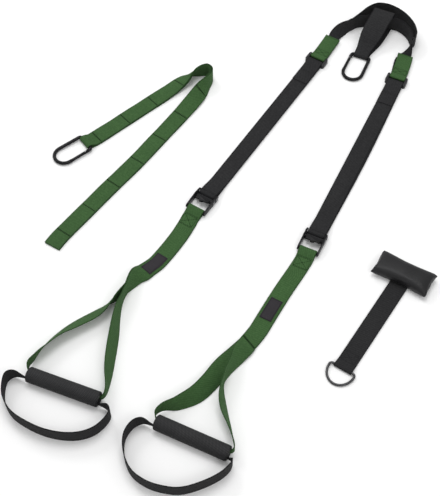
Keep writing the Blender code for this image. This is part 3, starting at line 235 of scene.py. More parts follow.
def webbing_finish(name, colour, deep):
    """Warp ribs along the strap, crossed by the weft at every other rib, with painted shade between the
    yarns and at the selvedges.
    """
    finish = Finish(name, specular=0.15)
    across, along = finish.mapped("strap")
    slant = ((across + along * TWILL_SLOPE) / TWILL_STEP).wave()
    rib = across / WARP_STEP
    odd = rib.math("FLOOR").math("MODULO", 2.0) * 0.5
    yarn = rib.wave() * ((along / WEFT_STEP + odd).wave() * 0.65 + 0.35)
    fade = finish.noise(14.0, 3.0).ramp(0.3, 0.7)
    fleck = finish.noise(260.0).ramp(0.35, 0.65)
    # Painted shade: darker over the last few millimetres to each long edge, where the rounded selvedge
    # turns from the light.
    edge = across.math("ABSOLUTE").ramp(WEBBING_WIDTH / 2 - SELVEDGE, WEBBING_WIDTH / 2)
    worn = finish.mix(fade * 0.4, colour, tinted(colour, 1.35))
    # The yarn term is painted shade in the gaps between the yarns; the twill slant and the flecks are the
    # weave's own pattern and tone.
    lit = (yarn * 0.55 + 0.45) * (slant * TWILL_DEPTH + (1.0 - TWILL_DEPTH)) * (fleck * 0.3 + 0.7)
    woven = finish.mix(lit, deep, worn)
    finish.set(Base_Color=finish.mix(edge * 0.75, woven, deep))
    finish.set(Roughness=yarn * -0.12 + 0.9)
    finish.bump(yarn + finish.noise(900.0) * 0.35, WEAVE_DEPTH)
    return finish.material


def thread_finish(name, colour):
    """Dull twisted polyester thread, with a painted highlight in small random spots where a strand comes
    up.
    """
    finish = Finish(name, specular=0.06)
    # Painted highlight: small random spots are lighter, standing for the tops of strands.
    strand = finish.noise(600.0).ramp(0.35, 0.65)
    finish.set(Base_Color=finish.mix(strand, colour, tinted(colour, 1.6)), Roughness=0.55)
    finish.bump(finish.noise(2500.0), STRAND_DEPTH)
    return finish.material


def strap_sides(bm, width, thickness, narrow):
    """Which long edge each corner of a strap's solid is on, as -1 or 1, by the surest links first."""
    tree = BVHTree.FromBMesh(bm)
    wide = {}
    for face in bm.faces:
        start = face.calc_center_median() - face.normal * thickness / PROBE_SHARE
        wide[face] = tree.ray_cast(start, -face.normal, PLY_REACH * thickness)[0] is not None
    sharp = {edge for edge in bm.edges if edge.calc_face_angle(0.0) > SHARP_TURN}
    cut = {v for v in bm.verts if sum(edge in sharp for edge in v.link_edges) > 2}
    links = {v: [] for v in bm.verts}
    for edge in bm.edges:
        a, b = edge.verts
        size = edge.calc_length()
        square = SQUARE_TURN[0] < edge.calc_face_angle(0.0) < SQUARE_TURN[1]
        ends_cut = a in cut and b in cut
        kind, sign = 2, 1
        if size < narrow:
            kind = 0
        elif not square:
            reach = 2 * max(face.calc_area() for face in edge.link_faces) / size
            full = FULL_WIDTH[0] * width < size < FULL_WIDTH[1] * width
            crosses = full and (reach > FACE_REACH * thickness or ends_cut)
            crosses = crosses or any(wide[face] for face in edge.link_faces)
            kind, sign = 1, (-1 if crosses else 1)
        elif ends_cut and size < CUT_WIDTH * width:
            sign = -1
        links[a].append((kind, size, b, sign))
        links[b].append((kind, size, a, sign))
    side = {}
    for first in bm.verts:
        if first in side:
            continue
        queue = [(0, 0.0, first.index, first, 1)]
        while queue:
            _, _, _, point, sign = heapq.heappop(queue)
            if point in side:
                continue
            side[point] = sign
            for kind, size, other, turn in links[point]:
                if other not in side:
                    heapq.heappush(queue, (kind, size, other.index, other, sign * turn))
    return side, links


def strap_places(bm, side, links):
    """How far along the strap each corner lies: from a cut end, or both ways round from the lowest one."""
    start = min(bm.verts, key=lambda v: (round(v.co.y, PLACE_DIGITS), v.co.x))
    mate = min((v for v in bm.verts if side[v] != side[start]), key=lambda v: (v.co - start.co).length)
    far = {start: 0.0, mate: 0.0}
    queue = [(0.0, v.index, v) for v in far]
    while queue:
        reach, _, point = heapq.heappop(queue)
        if reach > far[point]:
            continue
        for _, size, other, _ in links[point]:
            if side[other] == side[point] and reach + size < far.get(other, math.inf):
                far[other] = reach + size
                heapq.heappush(queue, (reach + size, other.index, other))
    even = {}
    for point in bm.verts:
        over = [(size, other.index, other) for _, size, other, _ in links[point]
                if side[other] != side[point]]
        mate = min(over)[2] if over else point
        even[point] = (far.get(point, 0.0) + far.get(mate, 0.0)) / 2
    return even


def select_only(piece):
    """The piece alone is selected and active."""
    bpy.ops.object.select_all(action="DESELECT")
    piece.select_set(True)
    bpy.context.view_layer.objects.active = piece


def apply_modifier(piece, kind, **settings):
    """One modifier, made, set and applied to the piece."""
    select_only(piece)
    modifier = piece.modifiers.new(kind.lower(), kind)
    for key, value in settings.items():
        setattr(modifier, key, value)
    bpy.ops.object.modifier_apply(modifier=modifier.name)


def copy_of(node, name):
    """A copy of a CAD solid to dress: its loose triangles are merged."""
    mesh = nodes[node].data.copy()
    mesh.materials.clear()
    piece = bpy.data.objects.new(name, mesh)
    bpy.context.scene.collection.objects.link(piece)
    bm = bmesh.new()
    bm.from_mesh(mesh)
    bmesh.ops.remove_doubles(bm, verts=bm.verts, dist=MERGE_WITHIN)
    bm.to_mesh(mesh)
    bm.free()
    return piece


def take_place(piece, node, material):
    """The piece stands for a CAD node and a finish. Gives the body that the node is in."""
    piece.data.materials.append(material)
    solid = nodes[node]
    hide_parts(node)
    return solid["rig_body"]


class Strap:
    """A strap dressed over its solid, with a map across and along it, in metres, for weave and stitches."""

    def __init__(self, node, name, material, width=WEBBING_WIDTH, thickness=WEBBING_THICKNESS, narrow=None):
        self.width = width
        self.piece = copy_of(node, name)
        mesh = self.piece.data
        bm = bmesh.new()
        bm.from_mesh(mesh)
        side, links = strap_sides(bm, width, thickness, narrow or width / 2)
        far = strap_places(bm, side, links)
        self.length = max(far.values())
        self.corners = [(side[v], far[v], v.co.copy()) for v in bm.verts]
        layer = bm.loops.layers.uv.new("strap")
        for face in bm.faces:
            for loop in face.loops:
                loop[layer].uv = (side[loop.vert] * width / 2, far[loop.vert])
        self.skin = BVHTree.FromBMesh(bm)
        bm.to_mesh(mesh)
        bm.free()
        apply_modifier(self.piece, "BEVEL", width=min(SELVEDGE_ROUND, thickness / 4), segments=2,
                       angle_limit=SHARP_TURN)
        bpy.ops.object.shade_smooth_by_angle(angle=SHARP_TURN)
        self.body = take_place(self.piece, node, material)

    def place(self, across, along):
        """A place in the strap's thickness, from its middle line and its start."""
        ends = []
        for sign in (-1, 1):
            rows = [(far, co) for turn, far, co in self.corners if turn == sign]
            before = max((row for row in rows if row[0] <= along), key=lambda row: row[0], default=None)
            after = min((row for row in rows if row[0] > along), key=lambda row: row[0], default=None)
            before, after = before or after, after or before
            span = after[0] - before[0]
            share = (along - before[0]) / span if span else 0.0
            ends.append(before[1].lerp(after[1], share))
        return ends[0].lerp(ends[1], across / self.width + 0.5)


def stitch_shape():
    """One stitch, 1 long and 1 thick, as the sphere of a few faces that it starts from."""
    bpy.ops.object.select_all(action="DESELECT")
    bpy.ops.mesh.primitive_uv_sphere_add(segments=6, ring_count=4, radius=0.5, location=(0, 0, 0))
    ball = bpy.context.object
    points = [v.co.copy() for v in ball.data.vertices]
    faces = [tuple(p.vertices) for p in ball.data.polygons]
    bpy.data.objects.remove(ball)
    return points, faces


STITCH_POINTS, STITCH_FACES = stitch_shape()


def sewn(name, strap, paths, material, out=UP, step=STITCH_STEP):
    """Stitches that lie on a strap's skin along paths, seen from out."""
    size = Vector((THREAD_WIDTH, THREAD_HEIGHT, STITCH_LENGTH * step / STITCH_STEP))
    points, faces = [], []
    for a, b in (ends for path in paths for ends in zip(path, path[1:])):
        count = max(1, round((b - a).length / step))
        for i in range(count):
            middle = a.lerp(b, (i + 0.5) / count)
            hit, normal, _, _ = strap.skin.ray_cast(middle + out * NEEDLE_REACH, -out, 2 * NEEDLE_REACH)
            if hit is None:
                continue
            run = (b - a) - normal * (b - a).dot(normal)
            if run.length == 0:
                continue
            run.normalize()
            turn = Matrix((normal.cross(run), normal, run)).transposed()
            start = len(points)
            points += [hit + turn @ (point * size) for point in STITCH_POINTS]
            faces += [tuple(start + k for k in face) for face in STITCH_FACES]
    mesh = bpy.data.meshes.new(name)
    mesh.from_pydata(points, [], faces)
    mesh.materials.append(material)
    mesh.shade_smooth()
    piece = bpy.data.objects.new(name, mesh)
    bpy.context.scene.collection.objects.link(piece)
    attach(piece, strap.body)
    return piece


def box_corners(place, side, start, end):
    """The corners of a sewn box, where place turns what lies across and along a strap into a place."""
    return [place(-side, start), place(side, start), place(side, end), place(-side, end)]


def crossed(corners):
    """The rows of a sewn box: round its corners, and along both diagonals."""
    return [corners + corners[:1], corners[::2], corners[1::2]]


def seam_box(strap, start, end):
    """The rows of a crossed box on a strap, from start to end along it."""
    return crossed(box_corners(strap.place, strap.width / 2 - SEAM_INSET, start, end))


black_webbing = webbing_finish("black_webbing_weave", BLACK_WEBBING, BLACK_WEBBING_SHADE)
black_thread = thread_finish("black_thread", BLACK_THREAD_SHADED)

inner_band = Strap("yoke_inner_band", "yoke_inner", black_webbing)
outer_band = Strap("yoke_outer_band", "yoke_outer", black_webbing)
for band in (inner_band, outer_band):
    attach(band.piece, band.body)
seam_starts = (YOKE_SEAM_START, outer_band.length - YOKE_SEAM_START - YOKE_SEAM_RUN)
for number, (start, out) in enumerate(zip(seam_starts, YOKE_SEAM_SIDES), start=1):
    rows = seam_box(outer_band, start, start + YOKE_SEAM_RUN)
    sewn(f"yoke_seam_{number}", outer_band, rows, black_thread, out)

# Locking strap
# A closed sling of the same webbing that holds the inner band to the carabiner's bar: it is turned
# round the bar, runs over and under the band, and is sewn across where it comes back.

LOCKING_ROWS = (0.30, 0.345)
LOCKING_INSET = 9 * MILLIMETRE

locking = Strap("locking_strap", "locking_sling", black_webbing)
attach(locking.piece, locking.body)
low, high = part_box("locking_strap")
rows = []
for share in LOCKING_ROWS:
    y = low.y + (high.y - low.y) * share
    rows.append([Vector((x, y, NEEDLE_REACH)) for x in (low.x + LOCKING_INSET, high.x - LOCKING_INSET)])
sewn("locking_stitches", locking, rows, black_thread)

# Carabiners
# Bent steel rod under a glossy black coat, with a sprung gate on a steel rivet. One carries the yoke,
# and its twin closes the anchor strap.

BLACK_COAT = (0.007, 0.007, 0.008)
COAT_GRAIN_DEPTH = 0.03 * MILLIMETRE
BRIGHT_STEEL = (0.16, 0.16, 0.165)
STEEL_ROUGHNESS = 0.28
STEEL_MARK_DEPTH = 0.03 * MILLIMETRE
GATE_ROUND = 0.2 * MILLIMETRE
RIVET_ROUND = 0.12 * MILLIMETRE


def coated_metal(name, colour):
    """Steel under a black coat, finely grained, and rubbed a little brighter in places."""
    finish = Finish(name, specular=0.13)
    rubbed = finish.noise(60.0, 4.0).ramp(0.58, 0.75)
    finish.set(Base_Color=finish.mix(rubbed * 0.5, colour, tinted(colour, 2.2)))
    finish.set(Roughness=finish.noise(240.0, 3.0) * 0.16 + 0.18)
    finish.bump(finish.noise(1400.0), COAT_GRAIN_DEPTH)
    return finish.material


def bare_steel(name, colour, roughness=STEEL_ROUGHNESS):
    """Plated steel with small marks."""
    finish = Finish(name)
    marks = finish.noise(900.0, 3.0).ramp(0.5, 0.85)
    finish.set(Base_Color=finish.mix(marks * 0.4, colour, tinted(colour, 0.6)), Metallic=1.0)
    finish.set(Roughness=marks * 0.12 + roughness)
    finish.bump(finish.noise(900.0, 3.0), STEEL_MARK_DEPTH)
    return finish.material


def hard_piece(node, name, material, rounding=0.0):
    """A rigid solid with its edges rounded as its tooling leaves them."""
    piece = copy_of(node, name)
    if rounding:
        apply_modifier(piece, "BEVEL", width=rounding, segments=2, angle_limit=SHARP_TURN,
                       use_clamp_overlap=True)
    select_only(piece)
    bpy.ops.object.shade_smooth_by_angle(angle=SHARP_TURN)
    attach(piece, take_place(piece, node, material))


black_metal = coated_metal("black_coat", BLACK_COAT)
steel = bare_steel("plated_steel", BRIGHT_STEEL)
for prefix in ("main", "anchor"):
    hard_piece(f"{prefix}_carabiner", f"{prefix}_carabiner_body", black_metal)
    hard_piece(f"{prefix}_gate", f"{prefix}_gate_bar", black_metal, GATE_ROUND)
    hard_piece(f"{prefix}_gate_rivet", f"{prefix}_rivet", steel, RIVET_ROUND)

# Legs
# Each leg is one long piece of black webbing that comes down from the yoke, turns round the buckle's
# bar and comes back up as the tail. A moulded keeper slides on it and carries the end of the tail and
# a green tab.

GREEN_WEBBING = (0.070, 0.155, 0.052)
# Painted shade for the green webbing, between its yarns and at its selvedges.
GREEN_WEBBING_SHADE = (0.020, 0.052, 0.016)
# Painted shade: far darker than the green webbing, for the pucker round each stitch.
GREEN_THREAD_SHADED = (0.007, 0.018, 0.006)
MOULDED_BLACK = (0.010, 0.010, 0.011)
SPARK_DEPTH = 0.06 * MILLIMETRE
KEEPER_ROUND = 0.5 * MILLIMETRE
LAP_ROWS = [back * MILLIMETRE for back in (34, 38, 74, 78)]
TAB_SEAM_END = 52 * MILLIMETRE
TAB_SEAM_RUN = 16 * MILLIMETRE
TAB_HEM = 4 * MILLIMETRE
TAB_HEM_HALF = 15 * MILLIMETRE


def moulded_plastic(name, colour):
    """Nylon from a mould: a fine spark grain that is polished where fingers rub it."""
    finish = Finish(name, specular=0.3)
    rubbed = finish.noise(45.0, 3.0).ramp(0.5, 0.75)
    finish.set(Base_Color=finish.mix(rubbed * 0.6, colour, tinted(colour, 1.7)))
    finish.set(Roughness=rubbed * -0.14 + 0.45)
    finish.bump(finish.noise(1800.0, 3.0), SPARK_DEPTH)
    return finish.material


green_webbing = webbing_finish("green_webbing_weave", GREEN_WEBBING, GREEN_WEBBING_SHADE)
green_thread = thread_finish("green_thread", GREEN_THREAD_SHADED)
black_plastic = moulded_plastic("moulded_nylon", MOULDED_BLACK)

for prefix in ("left", "right"):
    main = Strap(f"{prefix}_main_strap", f"{prefix}_main", black_webbing)
    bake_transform(main.piece)

    hard_piece(f"{prefix}_keeper", f"{prefix}_keeper_loop", black_plastic, KEEPER_ROUND)
    tail = Strap(f"{prefix}_tail", f"{prefix}_tail_end", black_webbing)
    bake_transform(tail.piece)
    side = WEBBING_WIDTH / 2 - SEAM_INSET
    rows = [[tail.place(across, tail.length - back) for across in (-side, side)] for back in LAP_ROWS]
    lap = sewn(f"{prefix}_lap_stitches", tail, rows, black_thread)

    tab = Strap(f"{prefix}_pull_tab", f"{prefix}_tab", green_webbing)
    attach(tab.piece, tab.body)
    end = tab.length - TAB_SEAM_END
    seam = sewn(f"{prefix}_tab_stitches", tab, seam_box(tab, end - TAB_SEAM_RUN, end), green_thread)
    edge = [tab.place(across, tab.length - TAB_HEM) for across in (-TAB_HEM_HALF, TAB_HEM_HALF)]
    hem = sewn(f"{prefix}_tab_hem", tab, [edge], green_thread)

# Cam buckles
# Two stamped cheeks carry the grip bar, the end bar and a pin, on which a toothed cam with a thumb
# lever turns against a coil spring and bites the strap. All is steel, and the frame and the cam are
# coated black.

CHEEK_ROUND = 0.35 * MILLIMETRE
BAR_ROUND = 0.3 * MILLIMETRE
PIN_ROUND = 0.25 * MILLIMETRE
CAM_ROUND = 0.2 * MILLIMETRE

for prefix in ("left", "right"):
    hard_piece(f"{prefix}_buckle_frame", f"{prefix}_buckle_cheeks", black_metal, CHEEK_ROUND)
    hard_piece(f"{prefix}_grip_bar", f"{prefix}_bar", steel, BAR_ROUND)
    hard_piece(f"{prefix}_cam_pin", f"{prefix}_pin", steel, PIN_ROUND)
    hard_piece(f"{prefix}_cam_spring", f"{prefix}_spring", steel)
    hard_piece(f"{prefix}_cam_lever", f"{prefix}_cam", black_metal, CAM_ROUND)
    turn = Strap(f"{prefix}_strap_turn", f"{prefix}_turn", black_webbing)
    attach(turn.piece, turn.body)

# Lower straps and patches
# A closed loop of green webbing runs from the buckle's end bar, doubled, and splits into an arm to
# each end of the grip, through which it is gathered. A bare woven patch is sewn on the doubled part.

PATCH_CLOTH = (0.036, 0.032, 0.037)
# Painted shade, between the patch's yarns and at its rolled edge.
PATCH_CLOTH_SHADE = (0.016, 0.014, 0.017)
PATCH_THICKNESS = 0.6 * MILLIMETRE
PATCH_WIDTH = 26 * MILLIMETRE
PATCH_WARP_STEP = 0.5 * MILLIMETRE
PATCH_WEFT_STEP = 0.9 * MILLIMETRE
PATCH_WEAVE_DEPTH = 0.1 * MILLIMETRE
PATCH_EDGE = 1.4 * MILLIMETRE
PATCH_SIDE_INSET = 1.6 * MILLIMETRE
PATCH_END_INSET = 1.8 * MILLIMETRE
PATCH_STITCH_STEP = 2.4 * MILLIMETRE
GATHERED = 7.6 * MILLIMETRE
LEG_LEAN = {"left": -6.5, "right": 0.4}
BUCKLE_REACH = 26 * MILLIMETRE
LEG_BOX_START = 16 * MILLIMETRE
LEG_BOX_END = 41 * MILLIMETRE
SECOND_ROW = 2.2 * MILLIMETRE
SPLIT_TACK = (Vector((0.139, -0.307, 0.01)), Vector((0.172, -0.325, 0.01)))
TACK_ROWS = 4
TACK_STEP = 1.1 * MILLIMETRE
TACK_STITCH_STEP = 1.65 * MILLIMETRE


def patch_finish(name, colour, deep):
    """A close satin weave with a rolled edge, with painted shade between the yarns and towards the rolled
    edge.
    """
    finish = Finish(name, specular=0.15)
    across, along = finish.mapped("strap")
    yarn = (across / PATCH_WARP_STEP + along / PATCH_WEFT_STEP).wave()
    # Painted shade: the dark colour fills the gaps between the yarns, mixed with random tone, and darkens
    # the rolled edge.
    edge = across.math("ABSOLUTE").ramp(PATCH_WIDTH / 2 - PATCH_EDGE, PATCH_WIDTH / 2)
    cloth = finish.mix(yarn * 0.5 + finish.noise(40.0, 3.0) * 0.5, deep, colour)
    finish.set(Base_Color=finish.mix(edge * 0.6, cloth, deep))
    finish.set(Roughness=yarn * -0.15 + 0.68)
    finish.bump(yarn, PATCH_WEAVE_DEPTH)
    return finish.material


def leaning(degrees):
    """The level directions across and up the floor plan, turned by an angle."""
    turned = math.radians(degrees)
    return Vector((math.cos(turned), math.sin(turned), 0)), Vector((-math.sin(turned), math.cos(turned), 0))


def straight(head, across, along):
    """Places on a strap that lies straight, by what lies across it and along it from its head."""
    return lambda side, reach: head + across * side + along * reach


patch_cloth = patch_finish("patch_cloth", PATCH_CLOTH, PATCH_CLOTH_SHADE)
for prefix in ("left", "right"):
    lower = Strap(f"{prefix}_lower_strap", f"{prefix}_lower", green_webbing, narrow=GATHERED)
    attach(lower.piece, lower.body)
    patch = Strap(f"{prefix}_label", f"{prefix}_patch", patch_cloth, PATCH_WIDTH, PATCH_THICKNESS)
    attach(patch.piece, patch.body)
    corners = box_corners(patch.place, PATCH_WIDTH / 2 - PATCH_SIDE_INSET, PATCH_END_INSET,
                          patch.length - PATCH_END_INSET)
    border = sewn(f"{prefix}_patch_stitches", patch, [corners + corners[:1]], black_thread,
                  step=PATCH_STITCH_STEP)

    low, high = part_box(f"{prefix}_buckle_frame")
    sideways, upward = leaning(LEG_LEAN[prefix])
    on_leg = straight((low + high) / 2 - upward * BUCKLE_REACH, sideways, -upward)
    side = WEBBING_WIDTH / 2 - SEAM_INSET
    rows = crossed(box_corners(on_leg, side, LEG_BOX_START, LEG_BOX_END))
    for reach in (LEG_BOX_START - SECOND_ROW, LEG_BOX_END + SECOND_ROW):
        rows.append([on_leg(-side, reach), on_leg(side, reach)])
    seams = [sewn(f"{prefix}_lower_box", lower, rows, green_thread)]
    if prefix == "right":
        rows = [[place - upward * (row * TACK_STEP) for place in SPLIT_TACK] for row in range(TACK_ROWS)]
        seams.append(sewn("right_split_tack", lower, rows, green_thread, step=TACK_STITCH_STEP))

# Handles
# A knurled rubber sleeve turns with its plastic tube, and the foot cradle, a loop of black webbing
# gathered through the tube, swings about the same line.

GRIP_CHARCOAL = (0.036, 0.036, 0.037)
# Painted shade for the knurl's grooves.
GRIP_GROOVE_SHADE = (0.006, 0.006, 0.007)
GRIP_RADIUS = 15.5 * MILLIMETRE
GRIP_ROUND = 0.4 * MILLIMETRE
TUBE_ROUND = 0.3 * MILLIMETRE
KNURL_STEP = 3.2 * MILLIMETRE
KNURL_DEPTH = 0.4 * MILLIMETRE
AXIS_ROUNDS = 4


def knurled_finish(name, colour, deep):
    """Two sets of slanting grooves leave rows of small diamonds round the sleeve, with painted shade in the
    grooves.
    """
    finish = Finish(name, specular=0.25)
    round_it, along = finish.mapped("sleeve")
    one = ((round_it + along) / KNURL_STEP).wave()
    other = ((round_it - along) / KNURL_STEP).wave()
    diamond = one.math("MINIMUM", other)
    dust = finish.noise(30.0, 4.0).ramp(0.4, 0.7)
    top = finish.mix(dust * 0.5, colour, tinted(colour, 1.4))
    # Painted shade: the colour is darkest where the grooves sink, and lighter on the tops of the diamonds.
    finish.set(Base_Color=finish.mix(diamond.ramp(0.05, 0.4), deep, top))
    finish.set(Roughness=diamond * -0.12 + 0.78)
    finish.bump(diamond, KNURL_DEPTH)
    return finish.material


def level(line):
    """The direction of a line on the floor plan."""
    return Vector((line.x, line.y, 0)).normalized()


def middle_of(points):
    """The mean of some places."""
    return sum(points, Vector()) / len(points)


def sleeve_axis(points, centre):
    """The direction of a sleeve's own line, through the middles of its two end rings."""
    tip = max(points, key=lambda co: (co - centre).length)
    opposite = min(points, key=lambda co: (co - (2 * centre - tip)).length)
    axis = level(tip - opposite)
    ends = [max(points, key=lambda co: sign * (co - centre).dot(axis)) for sign in (-1, 1)]
    for _ in range(AXIS_ROUNDS):
        back, front = [(end - centre).dot(axis) for end in ends]
        first_ring = [co for co in points if (co - centre).dot(axis) < back + MILLIMETRE]
        last_ring = [co for co in points if (co - centre).dot(axis) > front - MILLIMETRE]
        axis = level(middle_of(last_ring) - middle_of(first_ring))
    return axis


def wrap_map(piece, node, name):
    """A map round and along a sleeve, in metres, with a whole number of knurls round it."""
    low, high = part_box(node)
    centre = (low + high) / 2
    mesh = piece.data
    axis = sleeve_axis([v.co for v in mesh.vertices], centre)
    beside = UP.cross(axis)
    knurls = round(2 * math.pi * GRIP_RADIUS / KNURL_STEP)
    layer = mesh.uv_layers.new(name=name)
    for face in mesh.polygons:
        outs = [mesh.vertices[mesh.loops[k].vertex_index].co - centre for k in face.loop_indices]
        turns = [math.atan2(out.dot(UP), out.dot(beside)) for out in outs]
        for k, out, angle in zip(face.loop_indices, outs, turns):
            if angle < 0 and max(turns) > math.pi / 2:
                angle += 2 * math.pi
            layer.data[k].uv = (angle / (2 * math.pi) * knurls * KNURL_STEP, out.dot(axis))


rubber = knurled_finish("knurled_rubber", GRIP_CHARCOAL, GRIP_GROOVE_SHADE)
for prefix in ("left", "right"):
    sleeve = copy_of(f"{prefix}_grip", f"{prefix}_grip_sleeve")
    apply_modifier(sleeve, "BEVEL", width=GRIP_ROUND, segments=2, angle_limit=SHARP_TURN)
    bpy.ops.object.shade_smooth_by_angle(angle=SHARP_TURN)
    wrap_map(sleeve, f"{prefix}_grip", "sleeve")
    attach(sleeve, take_place(sleeve, f"{prefix}_grip", rubber))
    hard_piece(f"{prefix}_grip_tube", f"{prefix}_tube", black_plastic, TUBE_ROUND)
    cradle = Strap(f"{prefix}_cradle", f"{prefix}_foot_cradle", black_webbing, narrow=GATHERED)
    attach(cradle.piece, cradle.body)

# Anchor strap
# Green webbing doubled on itself round the second carabiner's bar and sewn across at even steps, which
# makes the chain of loops by which the trainer's height is set.

ANCHOR_NARROW = 0.6 * WEBBING_WIDTH
ANCHOR_STEP = 81.5 * MILLIMETRE
ANCHOR_INSET = 1.0 * MILLIMETRE
ANCHOR_ROWS = (-1.1 * MILLIMETRE, 0.0, 1.1 * MILLIMETRE)

anchor = Strap("anchor_strap", "anchor_loops", green_webbing, narrow=ANCHOR_NARROW)
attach(anchor.piece, anchor.body)
side = anchor.width / 2 - ANCHOR_INSET
rows = []
for number in range(int(anchor.length / 2 / ANCHOR_STEP + 0.5)):
    for row in ANCHOR_ROWS:
        along = (number + 0.5) * ANCHOR_STEP + row
        rows.append([anchor.place(-side, along), anchor.place(side, along)])
steps = sewn("anchor_stitches", anchor, rows, green_thread)

# Door anchor
# A stuffed bar in smooth nylon cloth that jams behind a closed door, its doubled strap, which is sewn
# into the bar's side, and a plated D-ring.

PAD_COVER = (0.013, 0.013, 0.014)
NYLON_STEP = 0.8 * MILLIMETRE
CREASE_DEPTH = 0.5 * MILLIMETRE
PAD_CUT = 0.985
PAD_VOXEL = 4 * MILLIMETRE
PAD_PRESSURE = 4.0
PAD_FRAMES = 20
PAD_SWELL = 3 * MILLIMETRE
PAD_LEAN = -5.0
PAD_SEAM_PLACE = 58 * MILLIMETRE
PAD_SEAM_HALF = 25 * MILLIMETRE
PAD_SEAM_STITCHES = 12
DOOR_STRAP_LEAN = -7.5
DOOR_BOX_START = 12 * MILLIMETRE
DOOR_BOX_END = 34 * MILLIMETRE
DOOR_BOX_HEIGHT = 10 * MILLIMETRE
DARK_STEEL = (0.045, 0.045, 0.047)
DARK_STEEL_ROUGHNESS = 0.2


def nylon_finish(name, colour):
    """Smooth coated nylon cloth: a fine plain weave and soft creases, with painted shade in the creases'
    hollows.
    """
    finish = Finish(name, specular=0.2)
    x, y, _ = finish.axes(finish.place())
    weave = (x / NYLON_STEP).wave() * (y / NYLON_STEP).wave()
    crease = finish.noise(26.0, 3.0)
    # Painted shade: the colour is darker where the crease relief sinks.
    finish.set(Base_Color=finish.mix(crease.ramp(0.3, 0.75), tinted(colour, 0.75), colour))
    finish.set(Roughness=weave * 0.1 + 0.36)
    finish.bump(crease * 4.0 + weave * 0.1, CREASE_DEPTH)
    return finish.material


def fill_cover(piece):
    """Stuffing pushes the cover out, and no place moves further than its seams allow."""
    vertices = piece.data.vertices
    start = [v.co.copy() for v in vertices]
    cloth = piece.modifiers.new("cover", "CLOTH")
    cloth.settings.use_pressure = True
    cloth.settings.uniform_pressure_force = PAD_PRESSURE
    cloth.settings.effector_weights.gravity = 0
    cloth.point_cache.frame_start = 1
    cloth.point_cache.frame_end = PAD_FRAMES
    for step in range(1, PAD_FRAMES + 1):
        bpy.context.scene.frame_set(step)
    full = piece.evaluated_get(bpy.context.evaluated_depsgraph_get())
    end = [v.co.copy() for v in full.data.vertices]
    piece.modifiers.remove(cloth)
    bpy.context.scene.frame_set(1)
    for vertex, a, b in zip(vertices, start, end):
        move = b - a
        if move.length > PAD_SWELL:
            move = move.normalized() * PAD_SWELL
        vertex.co = a + move


pad = copy_of("door_pad", "door_cushion")
low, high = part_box("door_pad")
centre = Vector(((low.x + high.x) / 2, (low.y + high.y) / 2, low.z))
for vertex in pad.data.vertices:
    vertex.co = centre + (vertex.co - centre) * PAD_CUT
apply_modifier(pad, "REMESH", mode="VOXEL", voxel_size=PAD_VOXEL)
fill_cover(pad)
apply_modifier(pad, "SUBSURF", levels=1, render_levels=1)
for vertex in pad.data.vertices:
    vertex.co.z = max(vertex.co.z, 0.0)
pad.data.shade_smooth()
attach(pad, take_place(pad, "door_pad", nylon_finish("pad_nylon", PAD_COVER)))

cover = SimpleNamespace(skin=BVHTree.FromObject(pad, bpy.context.evaluated_depsgraph_get()), body="straps")
longways, sideways = leaning(PAD_LEAN)
rows = []
for sign in (-1, 1):
    end = centre + longways * sign * PAD_SEAM_PLACE
    rows.append([end + sideways * PAD_SEAM_HALF * (2 * i / PAD_SEAM_STITCHES - 1)
                 for i in range(PAD_SEAM_STITCHES + 1)])
sewn("pad_stitches", cover, rows, black_thread)

door = Strap("door_strap", "door_strap_webbing", black_webbing)
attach(door.piece, door.body)
low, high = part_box("door_ring")
head = Vector(((low.x + high.x) / 2, high.y, DOOR_BOX_HEIGHT))
on_door = straight(head, *leaning(DOOR_STRAP_LEAN))
rows = crossed(box_corners(on_door, WEBBING_WIDTH / 2 - SEAM_INSET, DOOR_BOX_START, DOOR_BOX_END))
box = sewn("door_strap_box", door, rows, black_thread)
hard_piece("door_ring", "door_ring_bent", bare_steel("dark_plated_steel", DARK_STEEL, DARK_STEEL_ROUGHNESS))

# Studio
# A white floor under even, soft light, and the camera above the handles, turned towards the yoke.

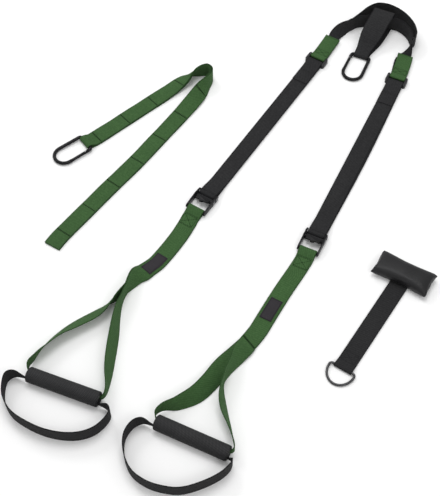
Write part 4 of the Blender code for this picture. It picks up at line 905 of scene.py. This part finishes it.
FLOOR_WHITE = (0.98, 0.98, 0.98, 1.0)
FLOOR_ROUGHNESS = 0.9
FLOOR_SIZE = 12.0
FLOOR_DROP = 0.2 * MILLIMETRE
WORLD_LIGHT = 0.64
LAMPS = (
    ("window_left", Vector((-2.4, 1.2, 2.6)), 1.0, 20.0),
    ("window_right", Vector((2.2, -1.8, 3.0)), 1.0, 16.0),
    ("overhead", Vector((-0.3, 0.4, 3.0)), 1.4, 34.0),
)
VIEW_OFFSET = Vector((0.519, -1.064, 1.755))
VIEW_TARGET = Vector((0.00484, -0.13921, 0.0))
LENS = 73.1
NEAR_CLIP = 0.05


def facing(thing, line):
    """Turns a lamp or the camera so that it looks along a line."""
    thing.rotation_euler = line.to_track_quat("-Z", "Y").to_euler()


bpy.ops.object.select_all(action="DESELECT")
bpy.ops.mesh.primitive_plane_add(size=FLOOR_SIZE, location=(0, 0, -FLOOR_DROP))
floor = bpy.context.object
floor.name = "floor"
white = Finish("floor_white")
white.set(Base_Color=FLOOR_WHITE, Roughness=FLOOR_ROUGHNESS)
floor.data.materials.append(white.material)

world = bpy.data.worlds.new("studio")
bpy.context.scene.world = world
world.use_nodes = True
tree = world.node_tree
tree.nodes.clear()
rays = tree.nodes.new("ShaderNodeLightPath")
seen = Wire(tree, rays.outputs["Is Camera Ray"])
for ray in ("Is Glossy Ray", "Is Transmission Ray"):
    seen = seen.math("MAXIMUM", Wire(tree, rays.outputs[ray]))
background = tree.nodes.new("ShaderNodeBackground")
background.inputs["Color"].default_value = (1, 1, 1, 1)
feed(tree, background.inputs["Strength"], seen * (1.0 - WORLD_LIGHT) + WORLD_LIGHT)
output = tree.nodes.new("ShaderNodeOutputWorld")
tree.links.new(background.outputs[0], output.inputs[0])

for name, place, size, power in LAMPS:
    lamp = bpy.data.lights.new(name, "AREA")
    lamp.energy = power
    lamp.size = size
    light = bpy.data.objects.new(name, lamp)
    bpy.context.scene.collection.objects.link(light)
    light.location = place
    facing(light, -place)

lens = bpy.data.cameras.new("camera")
lens.lens = LENS
lens.clip_start = NEAR_CLIP
camera = bpy.data.objects.new("camera", lens)
bpy.context.scene.collection.objects.link(camera)
camera.location = VIEW_TARGET + VIEW_OFFSET
facing(camera, -VIEW_OFFSET)
bpy.context.scene.camera = camera
bpy.context.scene.view_settings.view_transform = "Standard"
